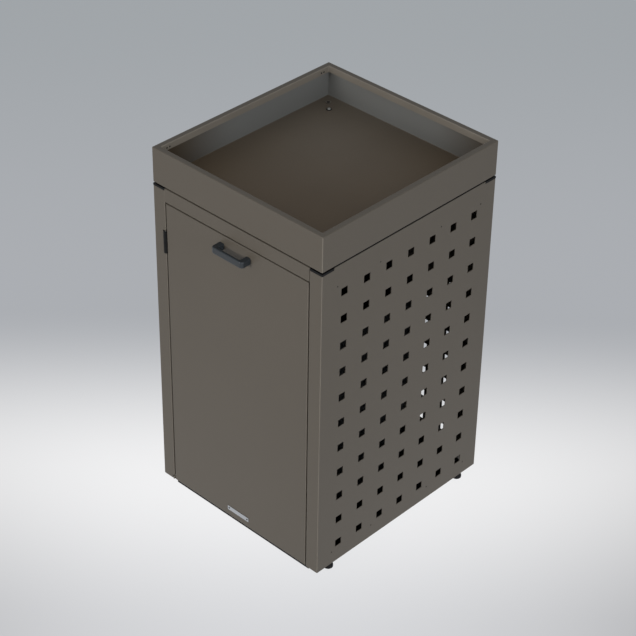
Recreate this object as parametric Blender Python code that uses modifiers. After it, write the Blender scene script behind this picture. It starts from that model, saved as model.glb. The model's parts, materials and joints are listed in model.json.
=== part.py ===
"""Cabinet litter bin with a planting tray on top.

Folded sheet-metal housing with perforated sides and back, a side-hung door, a lift-out container and
levelling feet. Metres, +Z up, the door faces -Y, and the ground is z = 0.
"""
import math

import bmesh
import bpy
from mathutils import Matrix, Vector

# Clearance between pieces that touch, and the running clearance of pins in their holes
FIT = 0.0003
PIN_CLEARANCE = 0.0003

# Housing
BODY_WIDTH = 0.647
BODY_DEPTH = 0.700
GROUND_GAP = 0.0225
SHEET = 0.002
BEND_RADIUS = 0.003
BEND_STEPS = 3
POST_WIDTH = 0.0455
POST_RETURN = 0.028

# Perforations
HOLE = 0.0245
SIDE_HOLE_COLUMNS = 7
BACK_HOLE_COLUMNS = 5
SIDE_HOLE_PITCH = 0.0878
BACK_HOLE_PITCH = 0.0970
ROW_PITCH = 0.08765
LOWEST_ROW = 0.0666
BACK_LOWEST_ROW = 0.0716

# Tray
TRAY_SEAM = 0.0038
TRAY_HEIGHT = 0.1106
TRAY_RIM = 0.0185
TRAY_LIP = 0.020
TRAY_BEND = 0.003
DRAIN_INSET = 0.035
DRAIN_RADIUS = 0.005
DRAIN_FLANGE = 0.0025
DRAIN_WALL = 0.0015
DRAIN_LENGTH = 0.030
DRAIN_CUP = 0.0015

# Corner caps
CAP_NOTCH = 0.007
CAP_ARM = 0.018
CAP_BOSS = 0.010
CAP_SKIRT = 0.014
CAP_SKIRT_WALL = 0.004

# Top rails that carry the tray
BEARER_SHEET = 0.0025
BEARER_WIDTH = 0.085
BEARER_DROP = 0.080
BOLT_INSET = 0.065
BOLT_RADIUS = 0.003
BOLT_HEAD_RADIUS = 0.0058
BOLT_HEAD_HEIGHT = 0.0034
BOLT_HEAD_RIM = 0.001
BOLT_LENGTH = 0.020
WASHER_RADIUS = 0.0085
WASHER_THICKNESS = 0.0015
NUT_THICKNESS = 0.005
NUT_RADIUS = 0.0058

# Front top rail, and the gap around the door
RAIL_HEIGHT = 0.0443
RAIL_DEPTH = 0.046
DOOR_GAP = 0.0035

# Foot rails, feet and floor
FOOT_RAIL_SHEET = 0.003
FOOT_RAIL_WIDTH = 0.060
FOOT_RAIL_HEIGHT = 0.046
FOOT_SIDE_INSET = 0.0165
FOOT_END_INSET = 0.064
FOOT_RADIUS = 0.015
FOOT_PAD = 0.008
FOOT_COLLAR_RADIUS = 0.009
FOOT_COLLAR = 0.006
STUD_RADIUS = 0.005
STUD_REACH = 0.020
LOCK_NUT_RADIUS = 0.0092
LOCK_NUT_THICKNESS = 0.008
FLOOR_MARGIN = 0.005
FLOOR_LIP = 0.012
SILL_SETBACK = 0.012
SILL_CLEARANCE = 0.003
SILL_FLANGE = 0.050

# Door
DOOR_DEPTH = 0.025
STIFFENER_SHEET = 0.0015
STIFFENER_WEB = 0.040
STIFFENER_FLANGE = 0.015
STIFFENER_DEPTH = 0.018
STIFFENER_MARGIN = 0.035

# Upper hinge and the small pivot at the foot of the door, on one axis
HINGE_SETBACK = 0.002
HINGE_INTO_POST = 0.0025
HINGE_RADIUS = 0.007
HINGE_LENGTH = 0.072
HINGE_DROP = 0.0917
HINGE_PIN_RADIUS = 0.0035
HINGE_LEAF = 0.0012
HINGE_LEAF_REACH = 0.020
HINGE_CLEARANCE = 0.0015
PIVOT_RADIUS = 0.0035
PIVOT_LENGTH = 0.012
PIVOT_PIN_RADIUS = 0.0015
PIVOT_LEAF_REACH = 0.014

# Handle and its screws; its height is from the foot of the door to its middle, and its drop from the top
HANDLE_REACH = 0.034
HANDLE_LENGTH = 0.120
HANDLE_BAR_HEIGHT = 0.0205
HANDLE_BAR_DEPTH = 0.0095
HANDLE_LEG = 0.017
HANDLE_CORNER = 0.010
HANDLE_EDGE = 0.003
HANDLE_HEIGHT = 0.952
HANDLE_DROP = 0.0342
SCREW_RADIUS = 0.0022
SCREW_DEPTH = 0.012
SCREW_HEAD_RADIUS = 0.0045
SCREW_HEAD = 0.003

# Name plate and its rivets
PLATE_LENGTH = 0.087
PLATE_HEIGHT = 0.0148
PLATE_THICKNESS = 0.001
PLATE_LOW = 0.0221
RIVET_INSET = 0.006
RIVET_RADIUS = 0.0012
RIVET_HEAD_RADIUS = 0.0024
RIVET_HEAD = 0.0008
RIVET_GRIP = 0.0015

# Magnetic catch
CATCH_OFFSET = 0.150
CATCH_LENGTH = 0.060
CATCH_DEPTH = 0.014
CATCH_HEIGHT = 0.024
CATCH_PLATE = 0.0015
CATCH_PLATE_DROP = 0.020
CATCH_PLATE_REACH = 0.014

# Litter container and its bail
CONTAINER_WIDTH = 0.390
CONTAINER_DEPTH = 0.456
CONTAINER_HEIGHT = 0.700
CONTAINER_TAPER = 0.025
CONTAINER_WALL = 0.003
CONTAINER_CORNER = 0.045
CONTAINER_RIM = 0.014
CONTAINER_FRONT_GAP = 0.087
EAR_WIDTH = 0.018
EAR_THICKNESS = 0.004
EAR_HEIGHT = 0.010
BAIL_RADIUS = 0.003
BAIL_GAP = 0.004
BAIL_CORNER = 0.035

# How finely the pieces are drawn
ROUND_STEPS = 24
SMALL_STEPS = 12
HEX_SIDES = 6
DOME_STEPS = 3
WIRE_STEPS = 2
EDGE_STEPS = 2
SHARP_ANGLE = math.radians(40)
CUT_MARGIN = 0.005
WELD = 0.00001
AXIS_MARK = 0.05

# Places worked out from the sizes above
BODY_Y = HANDLE_REACH / 2
FRONT = BODY_Y - BODY_DEPTH / 2
BACK = BODY_Y + BODY_DEPTH / 2
SIDE = BODY_WIDTH / 2
BASE = GROUND_GAP
DOOR_HEIGHT = HANDLE_HEIGHT + HANDLE_DROP
PANEL_HEIGHT = DOOR_HEIGHT + DOOR_GAP + RAIL_HEIGHT
HOLE_ROWS = 1 + int((PANEL_HEIGHT - 2 * LOWEST_ROW) / ROW_PITCH)
HINGE_LOW = DOOR_HEIGHT - HINGE_DROP - HINGE_LENGTH
HANDLE_Z = BASE + HANDLE_HEIGHT
DOOR_TOP = BASE + DOOR_HEIGHT
RAIL_BASE = DOOR_TOP + DOOR_GAP
PANEL_TOP = BASE + PANEL_HEIGHT
TRAY_BASE = PANEL_TOP + TRAY_SEAM
OPENING = SIDE - POST_WIDTH
DOOR_SIDE = OPENING - DOOR_GAP
DOOR_BACK = FRONT + DOOR_DEPTH
FLOOR_BASE = BASE + FOOT_RAIL_SHEET + FIT
FLOOR_TOP = FLOOR_BASE + SHEET
HINGE_X = -OPENING - HINGE_INTO_POST
HINGE_Y = FRONT + HINGE_SETBACK
HINGE_BASE = BASE + HINGE_LOW
HINGE_TOP = HINGE_BASE + HINGE_LENGTH
PIVOT_TOP = BASE + PIVOT_LENGTH
CONTAINER_BASE = FLOOR_TOP + FIT
CONTAINER_TOP = CONTAINER_BASE + CONTAINER_HEIGHT
CONTAINER_Y = FRONT + CONTAINER_FRONT_GAP + CONTAINER_RIM + CONTAINER_DEPTH / 2
EAR_X = CONTAINER_WIDTH / 2 + CONTAINER_RIM / 2
BAIL_Z = CONTAINER_TOP + EAR_HEIGHT / 2
BAIL_X = EAR_X + EAR_THICKNESS / 2 + BAIL_GAP + BAIL_RADIUS
BAIL_ARM = CONTAINER_DEPTH / 2 + CONTAINER_RIM / 2

CORNERS = (("front_left", -1, -1), ("front_right", 1, -1), ("rear_left", -1, 1), ("rear_right", 1, 1))


# Scene and material helpers

def clear_scene():
    """Removes every object that the scene starts with."""
    for obj in list(bpy.data.objects):
        bpy.data.objects.remove(obj, do_unlink=True)


def new_collection(name):
    collection = bpy.data.collections.new(name)
    bpy.context.scene.collection.children.link(collection)
    return collection


def new_material(name, colour, roughness, metallic):
    material = bpy.data.materials.new(name)
    material.use_nodes = True
    shader = material.node_tree.nodes["Principled BSDF"]
    shader.inputs["Base Color"].default_value = (*colour, 1.0)
    shader.inputs["Roughness"].default_value = roughness
    shader.inputs["Metallic"].default_value = metallic
    material.diffuse_color = (*colour, 1.0)
    return material


class Assembly:
    """The collections and materials of the part, and the ways to add a piece or a cutter to it."""

    def __init__(self):
        self.parts = new_collection("litter_bin")
        self.cutters = new_collection("cutters")
        self.paint = new_material("powder_coat_bronze_grey", (0.125, 0.112, 0.095), 0.45, 0.3)
        self.plastic = new_material("black_moulded_plastic", (0.012, 0.012, 0.013), 0.5, 0.0)
        self.handle_plastic = new_material("dark_grey_moulded_plastic", (0.02, 0.023, 0.028), 0.4, 0.0)
        self.steel = new_material("zinc_plated_steel", (0.55, 0.55, 0.53), 0.35, 1.0)
        self.black_steel = new_material("black_coated_steel", (0.01, 0.01, 0.01), 0.5, 0.2)
        self.plate = new_material("brushed_aluminium", (0.6, 0.6, 0.6), 0.4, 1.0)
        self.rubber = new_material("black_rubber", (0.01, 0.01, 0.01), 0.8, 0.0)
        self.bin_plastic = new_material("dark_grey_polyethylene", (0.03, 0.03, 0.032), 0.6, 0.0)

    def add(self, name, mesh, material, location=(0, 0, 0)):
        """Adds a piece. A mesh that is shared by several pieces keeps its one material."""
        obj = bpy.data.objects.new(name, mesh)
        obj.location = location
        self.parts.objects.link(obj)
        if not mesh.materials:
            mesh.materials.append(material)
        return obj

    def add_cutter(self, name, mesh, location=(0, 0, 0)):
        obj = bpy.data.objects.new(name, mesh)
        obj.location = location
        obj.hide_render = True
        obj.display_type = 'WIRE'
        self.cutters.objects.link(obj)
        return obj

    def combine(self, obj, other, operation):
        """Cuts the other object away from a piece, or joins it on."""
        modifier = obj.modifiers.new(operation.lower(), 'BOOLEAN')
        modifier.operation = operation
        modifier.solver = 'EXACT'
        modifier.object = other

    def cut(self, obj, name, mesh, location=(0, 0, 0)):
        cutter = self.add_cutter(name, mesh, location)
        self.combine(obj, cutter, 'DIFFERENCE')
        return cutter

    def join(self, obj, name, mesh, location=(0, 0, 0)):
        self.combine(obj, self.add_cutter(name, mesh, location), 'UNION')


# Shape helpers

def finish_mesh(name, bm):
    mesh = bpy.data.meshes.new(name)
    bm.to_mesh(mesh)
    bm.free()
    return mesh


def box(name, low, high):
    """A block between its lowest and highest corner."""
    bm = bmesh.new()
    bmesh.ops.create_cube(bm, size=1.0)
    low, high = Vector(low), Vector(high)
    bmesh.ops.transform(bm, matrix=Matrix.Diagonal((*(high - low), 1.0)), verts=bm.verts)
    bmesh.ops.translate(bm, vec=(low + high) / 2, verts=bm.verts)
    return finish_mesh(name, bm)


def rod(name, radius, start, end, axis='Z', steps=ROUND_STEPS):
    """A round bar along an axis, from start to end on that axis."""
    bm = bmesh.new()
    bmesh.ops.create_cone(bm, cap_ends=True, segments=steps, radius1=radius, radius2=radius,
                          depth=end - start)
    bmesh.ops.translate(bm, vec=(0, 0, (start + end) / 2), verts=bm.verts)
    if axis == 'Y':
        bmesh.ops.rotate(bm, matrix=Matrix.Rotation(math.radians(-90), 3, 'X'), verts=bm.verts)
    if axis == 'X':
        bmesh.ops.rotate(bm, matrix=Matrix.Rotation(math.radians(90), 3, 'Y'), verts=bm.verts)
    mesh = finish_mesh(name, bm)
    mesh.shade_smooth()
    mesh.set_sharp_from_angle(angle=SHARP_ANGLE)
    return mesh


def rounded_path(corners, radius, steps, closed=False):
    """The points of a bent line, with an arc of the radius at each corner."""
    count = len(corners)
    points = []
    for index, corner in enumerate(corners):
        corner = Vector(corner)
        if not closed and index in (0, count - 1):
            points.append(corner)
            continue
        before = (Vector(corners[index - 1]) - corner).normalized()
        after = (Vector(corners[(index + 1) % count]) - corner).normalized()
        half_angle = before.angle(after) / 2
        centre = corner + (before + after).normalized() * radius / math.sin(half_angle)
        first = corner + before * radius / math.tan(half_angle) - centre
        last = corner + after * radius / math.tan(half_angle) - centre
        for step in range(steps + 1):
            share = step / steps
            angle = first.angle(last)
            blend = first * math.sin((1 - share) * angle) + last * math.sin(share * angle)
            points.append(centre + blend / math.sin(angle))
    return points


def folded_sheet(name, corners, start, end, axis, radius=BEND_RADIUS):
    """An open sheet: a bent line in the plane across the axis, drawn out along it.

    The line's two coordinates are (x, y) for axis Z, (y, z) for axis X and (z, x) for axis Y. The outer
    side is on the right of the line's direction.
    """
    shift = {'Z': 0, 'X': 1, 'Y': 2}[axis]
    bm = bmesh.new()
    points = rounded_path(corners, radius, BEND_STEPS)
    verts = []
    for u, v in points:
        place = (u, v, start)
        verts.append(bm.verts.new([place[(axis_index - shift) % 3] for axis_index in range(3)]))
    edges = [bm.edges.new(pair) for pair in zip(verts, verts[1:])]
    drawn = bmesh.ops.extrude_edge_only(bm, edges=edges)["geom"]
    moved = [item for item in drawn if isinstance(item, bmesh.types.BMVert)]
    direction = Vector([end - start if axis_index == (2 + shift) % 3 else 0.0 for axis_index in range(3)])
    bmesh.ops.translate(bm, vec=direction, verts=moved)
    first_normal = Vector((points[1][1] - points[0][1], points[0][0] - points[1][0], 0.0))
    outward = Vector([first_normal[(axis_index - shift) % 3] for axis_index in range(3)])
    bm.normal_update()
    if edges[0].link_faces[0].normal.dot(outward) < 0:
        bmesh.ops.reverse_faces(bm, faces=bm.faces)
    mesh = finish_mesh(name, bm)
    mesh.shade_smooth()
    mesh.set_sharp_from_angle(angle=SHARP_ANGLE)
    return mesh


def thicken(obj, thickness, offset=-1.0):
    """Gives a sheet its thickness, on its inner side unless told otherwise."""
    modifier = obj.modifiers.new("sheet", 'SOLIDIFY')
    modifier.thickness = thickness
    modifier.offset = offset
    modifier.use_even_offset = True


def round_edges(obj, width):
    modifier = obj.modifiers.new("rounded", 'BEVEL')
    modifier.width = width
    modifier.segments = EDGE_STEPS
    modifier.limit_method = 'ANGLE'
    modifier.angle_limit = SHARP_ANGLE


def outline_solid(name, points, low, high):
    """A flat outline in the XY plane with a thickness from low to high."""
    curve = bpy.data.curves.new(name, 'CURVE')
    curve.dimensions = '2D'
    curve.fill_mode = 'BOTH'
    curve.extrude = (high - low) / 2
    spline = curve.splines.new('POLY')
    spline.points.add(len(points) - 1)
    for point, (x, y) in zip(spline.points, points):
        point.co = (x, y, 0.0, 1.0)
    spline.use_cyclic_u = True
    mesh = mesh_of_curve(name, curve)
    mesh.transform(Matrix.Translation((0, 0, (low + high) / 2)))
    return mesh


def mesh_of_curve(name, curve):
    """A closed mesh of a curve, with its loose caps welded on."""
    obj = bpy.data.objects.new(name, curve)
    bpy.context.scene.collection.objects.link(obj)
    depsgraph = bpy.context.evaluated_depsgraph_get()
    mesh = bpy.data.meshes.new_from_object(obj.evaluated_get(depsgraph), depsgraph=depsgraph)
    bpy.data.objects.remove(obj, do_unlink=True)
    mesh.name = name
    bm = bmesh.new()
    bm.from_mesh(mesh)
    bmesh.ops.remove_doubles(bm, verts=bm.verts, dist=WELD)
    bmesh.ops.recalc_face_normals(bm, faces=bm.faces)
    bm.to_mesh(mesh)
    bm.free()
    return mesh


def turned(assembly, name, profile, material, location, mesh=None):
    """A turned piece: a profile of (radius, height) pairs from top to bottom, spun about its own Z axis."""
    if mesh is None:
        bm = bmesh.new()
        verts = [bm.verts.new((radius, 0.0, height)) for radius, height in profile]
        for pair in zip(verts, verts[1:]):
            bm.edges.new(pair)
        mesh = finish_mesh(name, bm)
    obj = assembly.add(name, mesh, material, location)
    spin = obj.modifiers.new("turned", 'SCREW')
    spin.steps = ROUND_STEPS
    spin.render_steps = ROUND_STEPS
    spin.use_merge_vertices = True
    spin.merge_threshold = WELD
    spin.use_smooth_shade = False
    return obj


def dome(radius, low, high):
    """The profile of a low dome, from the middle of its top to its edge."""
    angles = [math.pi / 2 * step / DOME_STEPS for step in range(DOME_STEPS + 1)]
    return [(radius * math.sin(angle), low + (high - low) * math.cos(angle)) for angle in angles]


def hole_grid(assembly, name, low, high, columns, column_offset, rows, row_offset):
    """A cutter of equal blocks in columns and rows."""
    cutter = assembly.add_cutter(name, box(name, low, high))
    for label, count, offset in (("columns", columns, column_offset), ("rows", rows, row_offset)):
        array = cutter.modifiers.new(label, 'ARRAY')
        array.count = count
        array.use_relative_offset = False
        array.use_constant_offset = True
        array.constant_offset_displace = offset
    return cutter


def hang_on(axis_empty, pieces):
    """Parents the pieces to an empty on their joint's axis, where they are."""
    for piece in pieces:
        piece.parent = axis_empty
        piece.matrix_parent_inverse = Matrix.Translation(axis_empty.location).inverted()


def joint_axis(assembly, name, location):
    empty = bpy.data.objects.new(name, None)
    empty.location = location
    empty.empty_display_size = AXIS_MARK
    assembly.parts.objects.link(empty)
    return empty


# Housing

def side_panel(assembly, name, side):
    """One perforated side with its front and rear posts; side is -1 for the left and 1 for the right."""
    corners = [
        (side * OPENING, BACK - POST_RETURN),
        (side * OPENING, BACK),
        (side * SIDE, BACK),
        (side * SIDE, FRONT),
        (side * OPENING, FRONT),
        (side * OPENING, FRONT + POST_RETURN),
    ]
    if side > 0:
        corners.reverse()
    panel = assembly.add(name, folded_sheet(name, corners, BASE, PANEL_TOP, 'Z'), assembly.paint)
    thicken(panel, SHEET)

    first_column = BODY_Y - SIDE_HOLE_PITCH * (SIDE_HOLE_COLUMNS - 1) / 2
    lowest = BASE + LOWEST_ROW
    grid = hole_grid(
        assembly, name + "_perforation",
        (side * SIDE - CUT_MARGIN, first_column - HOLE / 2, lowest - HOLE / 2),
        (side * SIDE + CUT_MARGIN, first_column + HOLE / 2, lowest + HOLE / 2),
        SIDE_HOLE_COLUMNS, (0, SIDE_HOLE_PITCH, 0), HOLE_ROWS, (0, 0, ROW_PITCH))
    assembly.combine(panel, grid, 'DIFFERENCE')

    for end, edge, inward in (("front", FRONT, 1), ("rear", BACK, -1)):
        across = sorted((side * (OPENING - CUT_MARGIN), side * (SIDE + CUT_MARGIN)))
        along = sorted((edge - inward * CUT_MARGIN, edge + inward * POST_WIDTH))
        low = (across[0], along[0], PANEL_TOP - CAP_NOTCH)
        high = (across[1], along[1], PANEL_TOP + CUT_MARGIN)
        assembly.cut(panel, f"{name}_{end}_notch", box(f"{name}_{end}_notch", low, high))
    return panel


def back_panel(assembly):
    """The back between the rear posts, with a flange at its foot that reaches to the floor pan."""
    edge = OPENING - FIT
    corners = [(edge, BACK - POST_RETURN), (edge, BACK), (-edge, BACK), (-edge, BACK - POST_RETURN)]
    mesh = folded_sheet("back_panel", corners, BASE, PANEL_TOP, 'Z')
    panel = assembly.add("back_panel", mesh, assembly.paint)
    thicken(panel, SHEET)
    flange_end = edge - SHEET - BEND_RADIUS
    flange = box("back_panel_flange", (-flange_end, BACK - POST_RETURN + FIT, BASE + FIT),
                 (flange_end, BACK - SHEET / 2, BASE + FIT + SHEET))
    assembly.join(panel, "back_panel_flange", flange)
    first_column = -BACK_HOLE_PITCH * (BACK_HOLE_COLUMNS - 1) / 2
    lowest = BASE + BACK_LOWEST_ROW
    grid = hole_grid(
        assembly, "back_panel_perforation",
        (first_column - HOLE / 2, BACK - CUT_MARGIN, lowest - HOLE / 2),
        (first_column + HOLE / 2, BACK + CUT_MARGIN, lowest + HOLE / 2),
        BACK_HOLE_COLUMNS, (BACK_HOLE_PITCH, 0, 0), HOLE_ROWS, (0, 0, ROW_PITCH))
    assembly.combine(panel, grid, 'DIFFERENCE')


def front_top_rail(assembly):
    """The channel over the door, between the posts."""
    rear = FRONT + RAIL_DEPTH
    corners = [(rear, PANEL_TOP), (FRONT, PANEL_TOP), (FRONT, RAIL_BASE), (rear, RAIL_BASE)]
    edge = OPENING - FIT
    mesh = folded_sheet("front_top_rail", corners, -edge, edge, 'X')
    rail = assembly.add("front_top_rail", mesh, assembly.paint)
    thicken(rail, SHEET)


def corner_cap(assembly, label, side, end):
    """A moulded L in the notch of a post's top, with a boss under the tray and a skirt in the post."""
    edge = FRONT if end < 0 else BACK

    def plan(inset, length, width):
        points = [(inset, inset), (length, inset), (length, inset + width),
                  (inset + width, inset + width), (inset + width, length), (inset, length)]
        return [(side * (SIDE - u), edge - end * v) for u, v in points]

    name = f"corner_cap_{label}"
    length = POST_WIDTH - FIT
    floor = PANEL_TOP - CAP_NOTCH + FIT
    overlap = floor + CAP_NOTCH / 2
    cap_mesh = outline_solid(name, plan(0.0, length, CAP_ARM), floor, PANEL_TOP)
    cap = assembly.add(name, cap_mesh, assembly.plastic)
    boss = plan(CAP_ARM / 2, CAP_ARM / 2 + CAP_BOSS, CAP_BOSS / 2)
    assembly.join(cap, name + "_boss", outline_solid(name + "_boss", boss, overlap, TRAY_BASE - FIT))
    skirt = plan(BEND_RADIUS, length - SHEET - 2 * BEND_RADIUS, CAP_SKIRT_WALL)
    assembly.join(cap, name + "_skirt", outline_solid(name + "_skirt", skirt, floor - CAP_SKIRT, overlap))


def tray_bearer(assembly, name, side):
    """The angle along the top of a side: it carries the tray and takes its bolts."""
    outer = SIDE - SHEET - FIT
    top = TRAY_BASE - FIT
    corners = [
        (top - BEARER_DROP, side * outer),
        (top, side * outer),
        (top, side * (outer - BEARER_WIDTH)),
    ]
    if side > 0:
        corners.reverse()
    clear_of_cap = POST_WIDTH + BEND_RADIUS
    mesh = folded_sheet(name, corners, FRONT + clear_of_cap, BACK - clear_of_cap, 'Y')
    rail = assembly.add(name, mesh, assembly.black_steel)
    thicken(rail, BEARER_SHEET)
    bolt_x = side * (SIDE - BOLT_INSET)
    hole = rod(name + "_bolt_hole", BOLT_RADIUS + PIN_CLEARANCE, top - 2 * CUT_MARGIN, top + CUT_MARGIN,
               steps=SMALL_STEPS)
    for index, bolt_y in enumerate((FRONT + BOLT_INSET, BACK - BOLT_INSET)):
        assembly.cut(rail, f"{name}_bolt_hole_{index}", hole, (bolt_x, bolt_y, 0))


def planting_tray(assembly):
    """The open pan on top, with an inward rim, a down-turned lip and its drain and bolt holes."""
    bm = bmesh.new()
    bmesh.ops.create_grid(bm, x_segments=1, y_segments=1, size=0.5)
    bmesh.ops.transform(bm, matrix=Matrix.Diagonal((BODY_WIDTH, BODY_DEPTH, 1, 1)), verts=bm.verts)
    bmesh.ops.translate(bm, vec=(0, BODY_Y, TRAY_BASE), verts=bm.verts)
    bmesh.ops.reverse_faces(bm, faces=bm.faces)
    rim_scale = Vector((1 - 2 * TRAY_RIM / BODY_WIDTH, 1 - 2 * TRAY_RIM / BODY_DEPTH, 1.0))
    flat = Vector((1.0, 1.0, 1.0))
    for rise, scale in ((TRAY_HEIGHT, flat), (0.0, rim_scale), (-TRAY_LIP, flat)):
        border = [edge for edge in bm.edges if edge.is_boundary]
        drawn = bmesh.ops.extrude_edge_only(bm, edges=border)["geom"]
        verts = [item for item in drawn if isinstance(item, bmesh.types.BMVert)]
        bmesh.ops.translate(bm, vec=(0, 0, rise), verts=verts)
        bmesh.ops.scale(bm, vec=scale, verts=verts, space=Matrix.Translation((0, -BODY_Y, 0)))
    mesh = finish_mesh("planting_tray", bm)
    tray = assembly.add("planting_tray", mesh, assembly.paint)
    round_edges(tray, TRAY_BEND)
    thicken(tray, SHEET)

    hole = rod("tray_bolt_hole", BOLT_RADIUS + PIN_CLEARANCE, TRAY_BASE - CUT_MARGIN, TRAY_BASE + CUT_MARGIN,
               steps=SMALL_STEPS)
    for label, side, end in CORNERS:
        assembly.cut(tray, f"tray_bolt_hole_{label}", hole, bolt_place(side, end))
    drain_hole = rod("tray_drain_hole", DRAIN_RADIUS + DRAIN_WALL + FIT, TRAY_BASE - CUT_MARGIN,
                     TRAY_BASE + CUT_MARGIN)
    assembly.cut(tray, "tray_drain_hole", drain_hole, (-SIDE + DRAIN_INSET, BACK - DRAIN_INSET, 0))


def bolt_place(side, end):
    edge = FRONT if end < 0 else BACK
    return (side * (SIDE - BOLT_INSET), edge - end * BOLT_INSET, 0.0)


def drain_outlet(assembly):
    """A flanged bush through the tray's floor in one corner."""
    outer = DRAIN_RADIUS + DRAIN_WALL
    top = TRAY_BASE + SHEET + FIT
    profile = [
        (DRAIN_RADIUS, top - DRAIN_LENGTH),
        (DRAIN_RADIUS, top + DRAIN_CUP),
        (outer + DRAIN_FLANGE, top + DRAIN_CUP),
        (outer + DRAIN_FLANGE, top),
        (outer, top),
        (outer, top - DRAIN_LENGTH),
        (DRAIN_RADIUS, top - DRAIN_LENGTH),
    ]
    turned(assembly, "drain_outlet", profile, assembly.plastic, (-SIDE + DRAIN_INSET, BACK - DRAIN_INSET, 0))


def tray_fasteners(assembly):
    """A bolt, a sealing washer and a nut at each corner of the tray's floor."""
    seat = TRAY_BASE + SHEET + FIT
    head = seat + WASHER_THICKNESS + FIT
    nut_top = TRAY_BASE - 2 * FIT - BEARER_SHEET
    bolt_profile = [
        *dome(BOLT_HEAD_RADIUS, head + BOLT_HEAD_RIM, head + BOLT_HEAD_HEIGHT),
        (BOLT_HEAD_RADIUS, head),
        (BOLT_RADIUS, head),
        (BOLT_RADIUS, head - BOLT_LENGTH),
        (0.0, head - BOLT_LENGTH),
    ]
    bore = BOLT_RADIUS + PIN_CLEARANCE
    washer_profile = [
        (bore, seat),
        (bore, seat + WASHER_THICKNESS),
        (WASHER_RADIUS, seat + WASHER_THICKNESS),
        (WASHER_RADIUS, seat),
        (bore, seat),
    ]
    bolt_mesh = washer_mesh = None
    nut_mesh = rod("tray_nut", NUT_RADIUS, nut_top - NUT_THICKNESS, nut_top, steps=HEX_SIDES)
    nut_bore = rod("tray_nut_bore", bore, nut_top - NUT_THICKNESS - CUT_MARGIN, nut_top + CUT_MARGIN,
                   steps=SMALL_STEPS)
    for label, side, end in CORNERS:
        place = bolt_place(side, end)
        bolt = turned(assembly, f"tray_bolt_{label}", bolt_profile, assembly.steel, place, bolt_mesh)
        washer = turned(assembly, f"tray_washer_{label}", washer_profile, assembly.rubber, place, washer_mesh)
        bolt_mesh, washer_mesh = bolt.data, washer.data
        nut = assembly.add(f"tray_nut_{label}", nut_mesh, assembly.steel, place)
        assembly.cut(nut, f"tray_nut_bore_{label}", nut_bore, place)


# Base

def foot_place(side, end):
    edge = FRONT if end < 0 else BACK
    return (side * (SIDE - FOOT_SIDE_INSET), edge - end * FOOT_END_INSET, 0.0)


def foot_rail(assembly, name, side):
    """The angle along the foot of a side: it carries the floor pan and takes the feet."""
    outer = SIDE - SHEET - FIT
    corners = [
        (BASE, side * (outer - FOOT_RAIL_WIDTH)),
        (BASE, side * outer),
        (BASE + FOOT_RAIL_HEIGHT, side * outer),
    ]
    if side > 0:
        corners.reverse()
    clear_of_post = POST_RETURN + BEND_RADIUS
    mesh = folded_sheet(name, corners, FRONT + clear_of_post, BACK - clear_of_post, 'Y')
    rail = assembly.add(name, mesh, assembly.black_steel)
    thicken(rail, FOOT_RAIL_SHEET)
    hole = rod(name + "_stud_hole", STUD_RADIUS + PIN_CLEARANCE, BASE - CUT_MARGIN,
               BASE + FOOT_RAIL_SHEET + CUT_MARGIN)
    for end in (-1, 1):
        assembly.cut(rail, f"{name}_stud_hole_{end + 1}", hole, foot_place(side, end))


def levelling_feet(assembly):
    """Four moulded feet on threaded studs, each with a lock nut on the foot rail."""
    collar_top = BASE - FIT
    collar_base = collar_top - FOOT_COLLAR
    nut_base = BASE + FOOT_RAIL_SHEET + FIT
    nut_top = nut_base + LOCK_NUT_THICKNESS
    profile = [
        (0.0, nut_base + STUD_REACH),
        (STUD_RADIUS, nut_base + STUD_REACH),
        (STUD_RADIUS, collar_top),
        (FOOT_COLLAR_RADIUS, collar_top),
        (FOOT_COLLAR_RADIUS, collar_base),
        (FOOT_RADIUS, FOOT_PAD),
        (FOOT_RADIUS, 0.0),
        (0.0, 0.0),
    ]
    nut_mesh = rod("lock_nut", LOCK_NUT_RADIUS, nut_base, nut_top, steps=HEX_SIDES)
    nut_bore = rod("lock_nut_bore", STUD_RADIUS + PIN_CLEARANCE, nut_base - CUT_MARGIN, nut_top + CUT_MARGIN)
    foot_mesh = None
    for label, side, end in CORNERS:
        place = foot_place(side, end)
        foot = turned(assembly, f"levelling_foot_{label}", profile, assembly.plastic, place, foot_mesh)
        foot_mesh = foot.data
        nut = assembly.add(f"lock_nut_{label}", nut_mesh, assembly.steel, place)
        assembly.cut(nut, f"lock_nut_bore_{label}", nut_bore, place)


def floor_pan(assembly):
    """A shallow pan on the foot rails, between the lock nuts."""
    half_width = SIDE - FOOT_SIDE_INSET - LOCK_NUT_RADIUS - FLOOR_MARGIN
    end_gap = POST_RETURN + BEND_RADIUS
    low = (-half_width, FRONT + end_gap, FLOOR_BASE)
    high = (half_width, BACK - end_gap, FLOOR_BASE + FLOOR_LIP)
    bm = bmesh.new()
    bm.from_mesh(box("floor_pan_block", low, high))
    top = [face for face in bm.faces if face.normal.z > 0.5]
    bmesh.ops.delete(bm, geom=top, context='FACES_ONLY')
    pan = assembly.add("floor_pan", finish_mesh("floor_pan", bm), assembly.black_steel)
    thicken(pan, SHEET)


def base_sill(assembly):
    """The dark strip under the door, folded back under the foot rails."""
    top = BASE - FIT
    corners = [
        (FRONT + SILL_SETBACK + SILL_FLANGE, top),
        (FRONT + SILL_SETBACK, top),
        (FRONT + SILL_SETBACK, SILL_CLEARANCE),
    ]
    mesh = folded_sheet("base_sill", corners, -OPENING, OPENING, 'X')
    sill = assembly.add("base_sill", mesh, assembly.black_steel)
    thicken(sill, SHEET)


# Door, hinge and pivot

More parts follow.
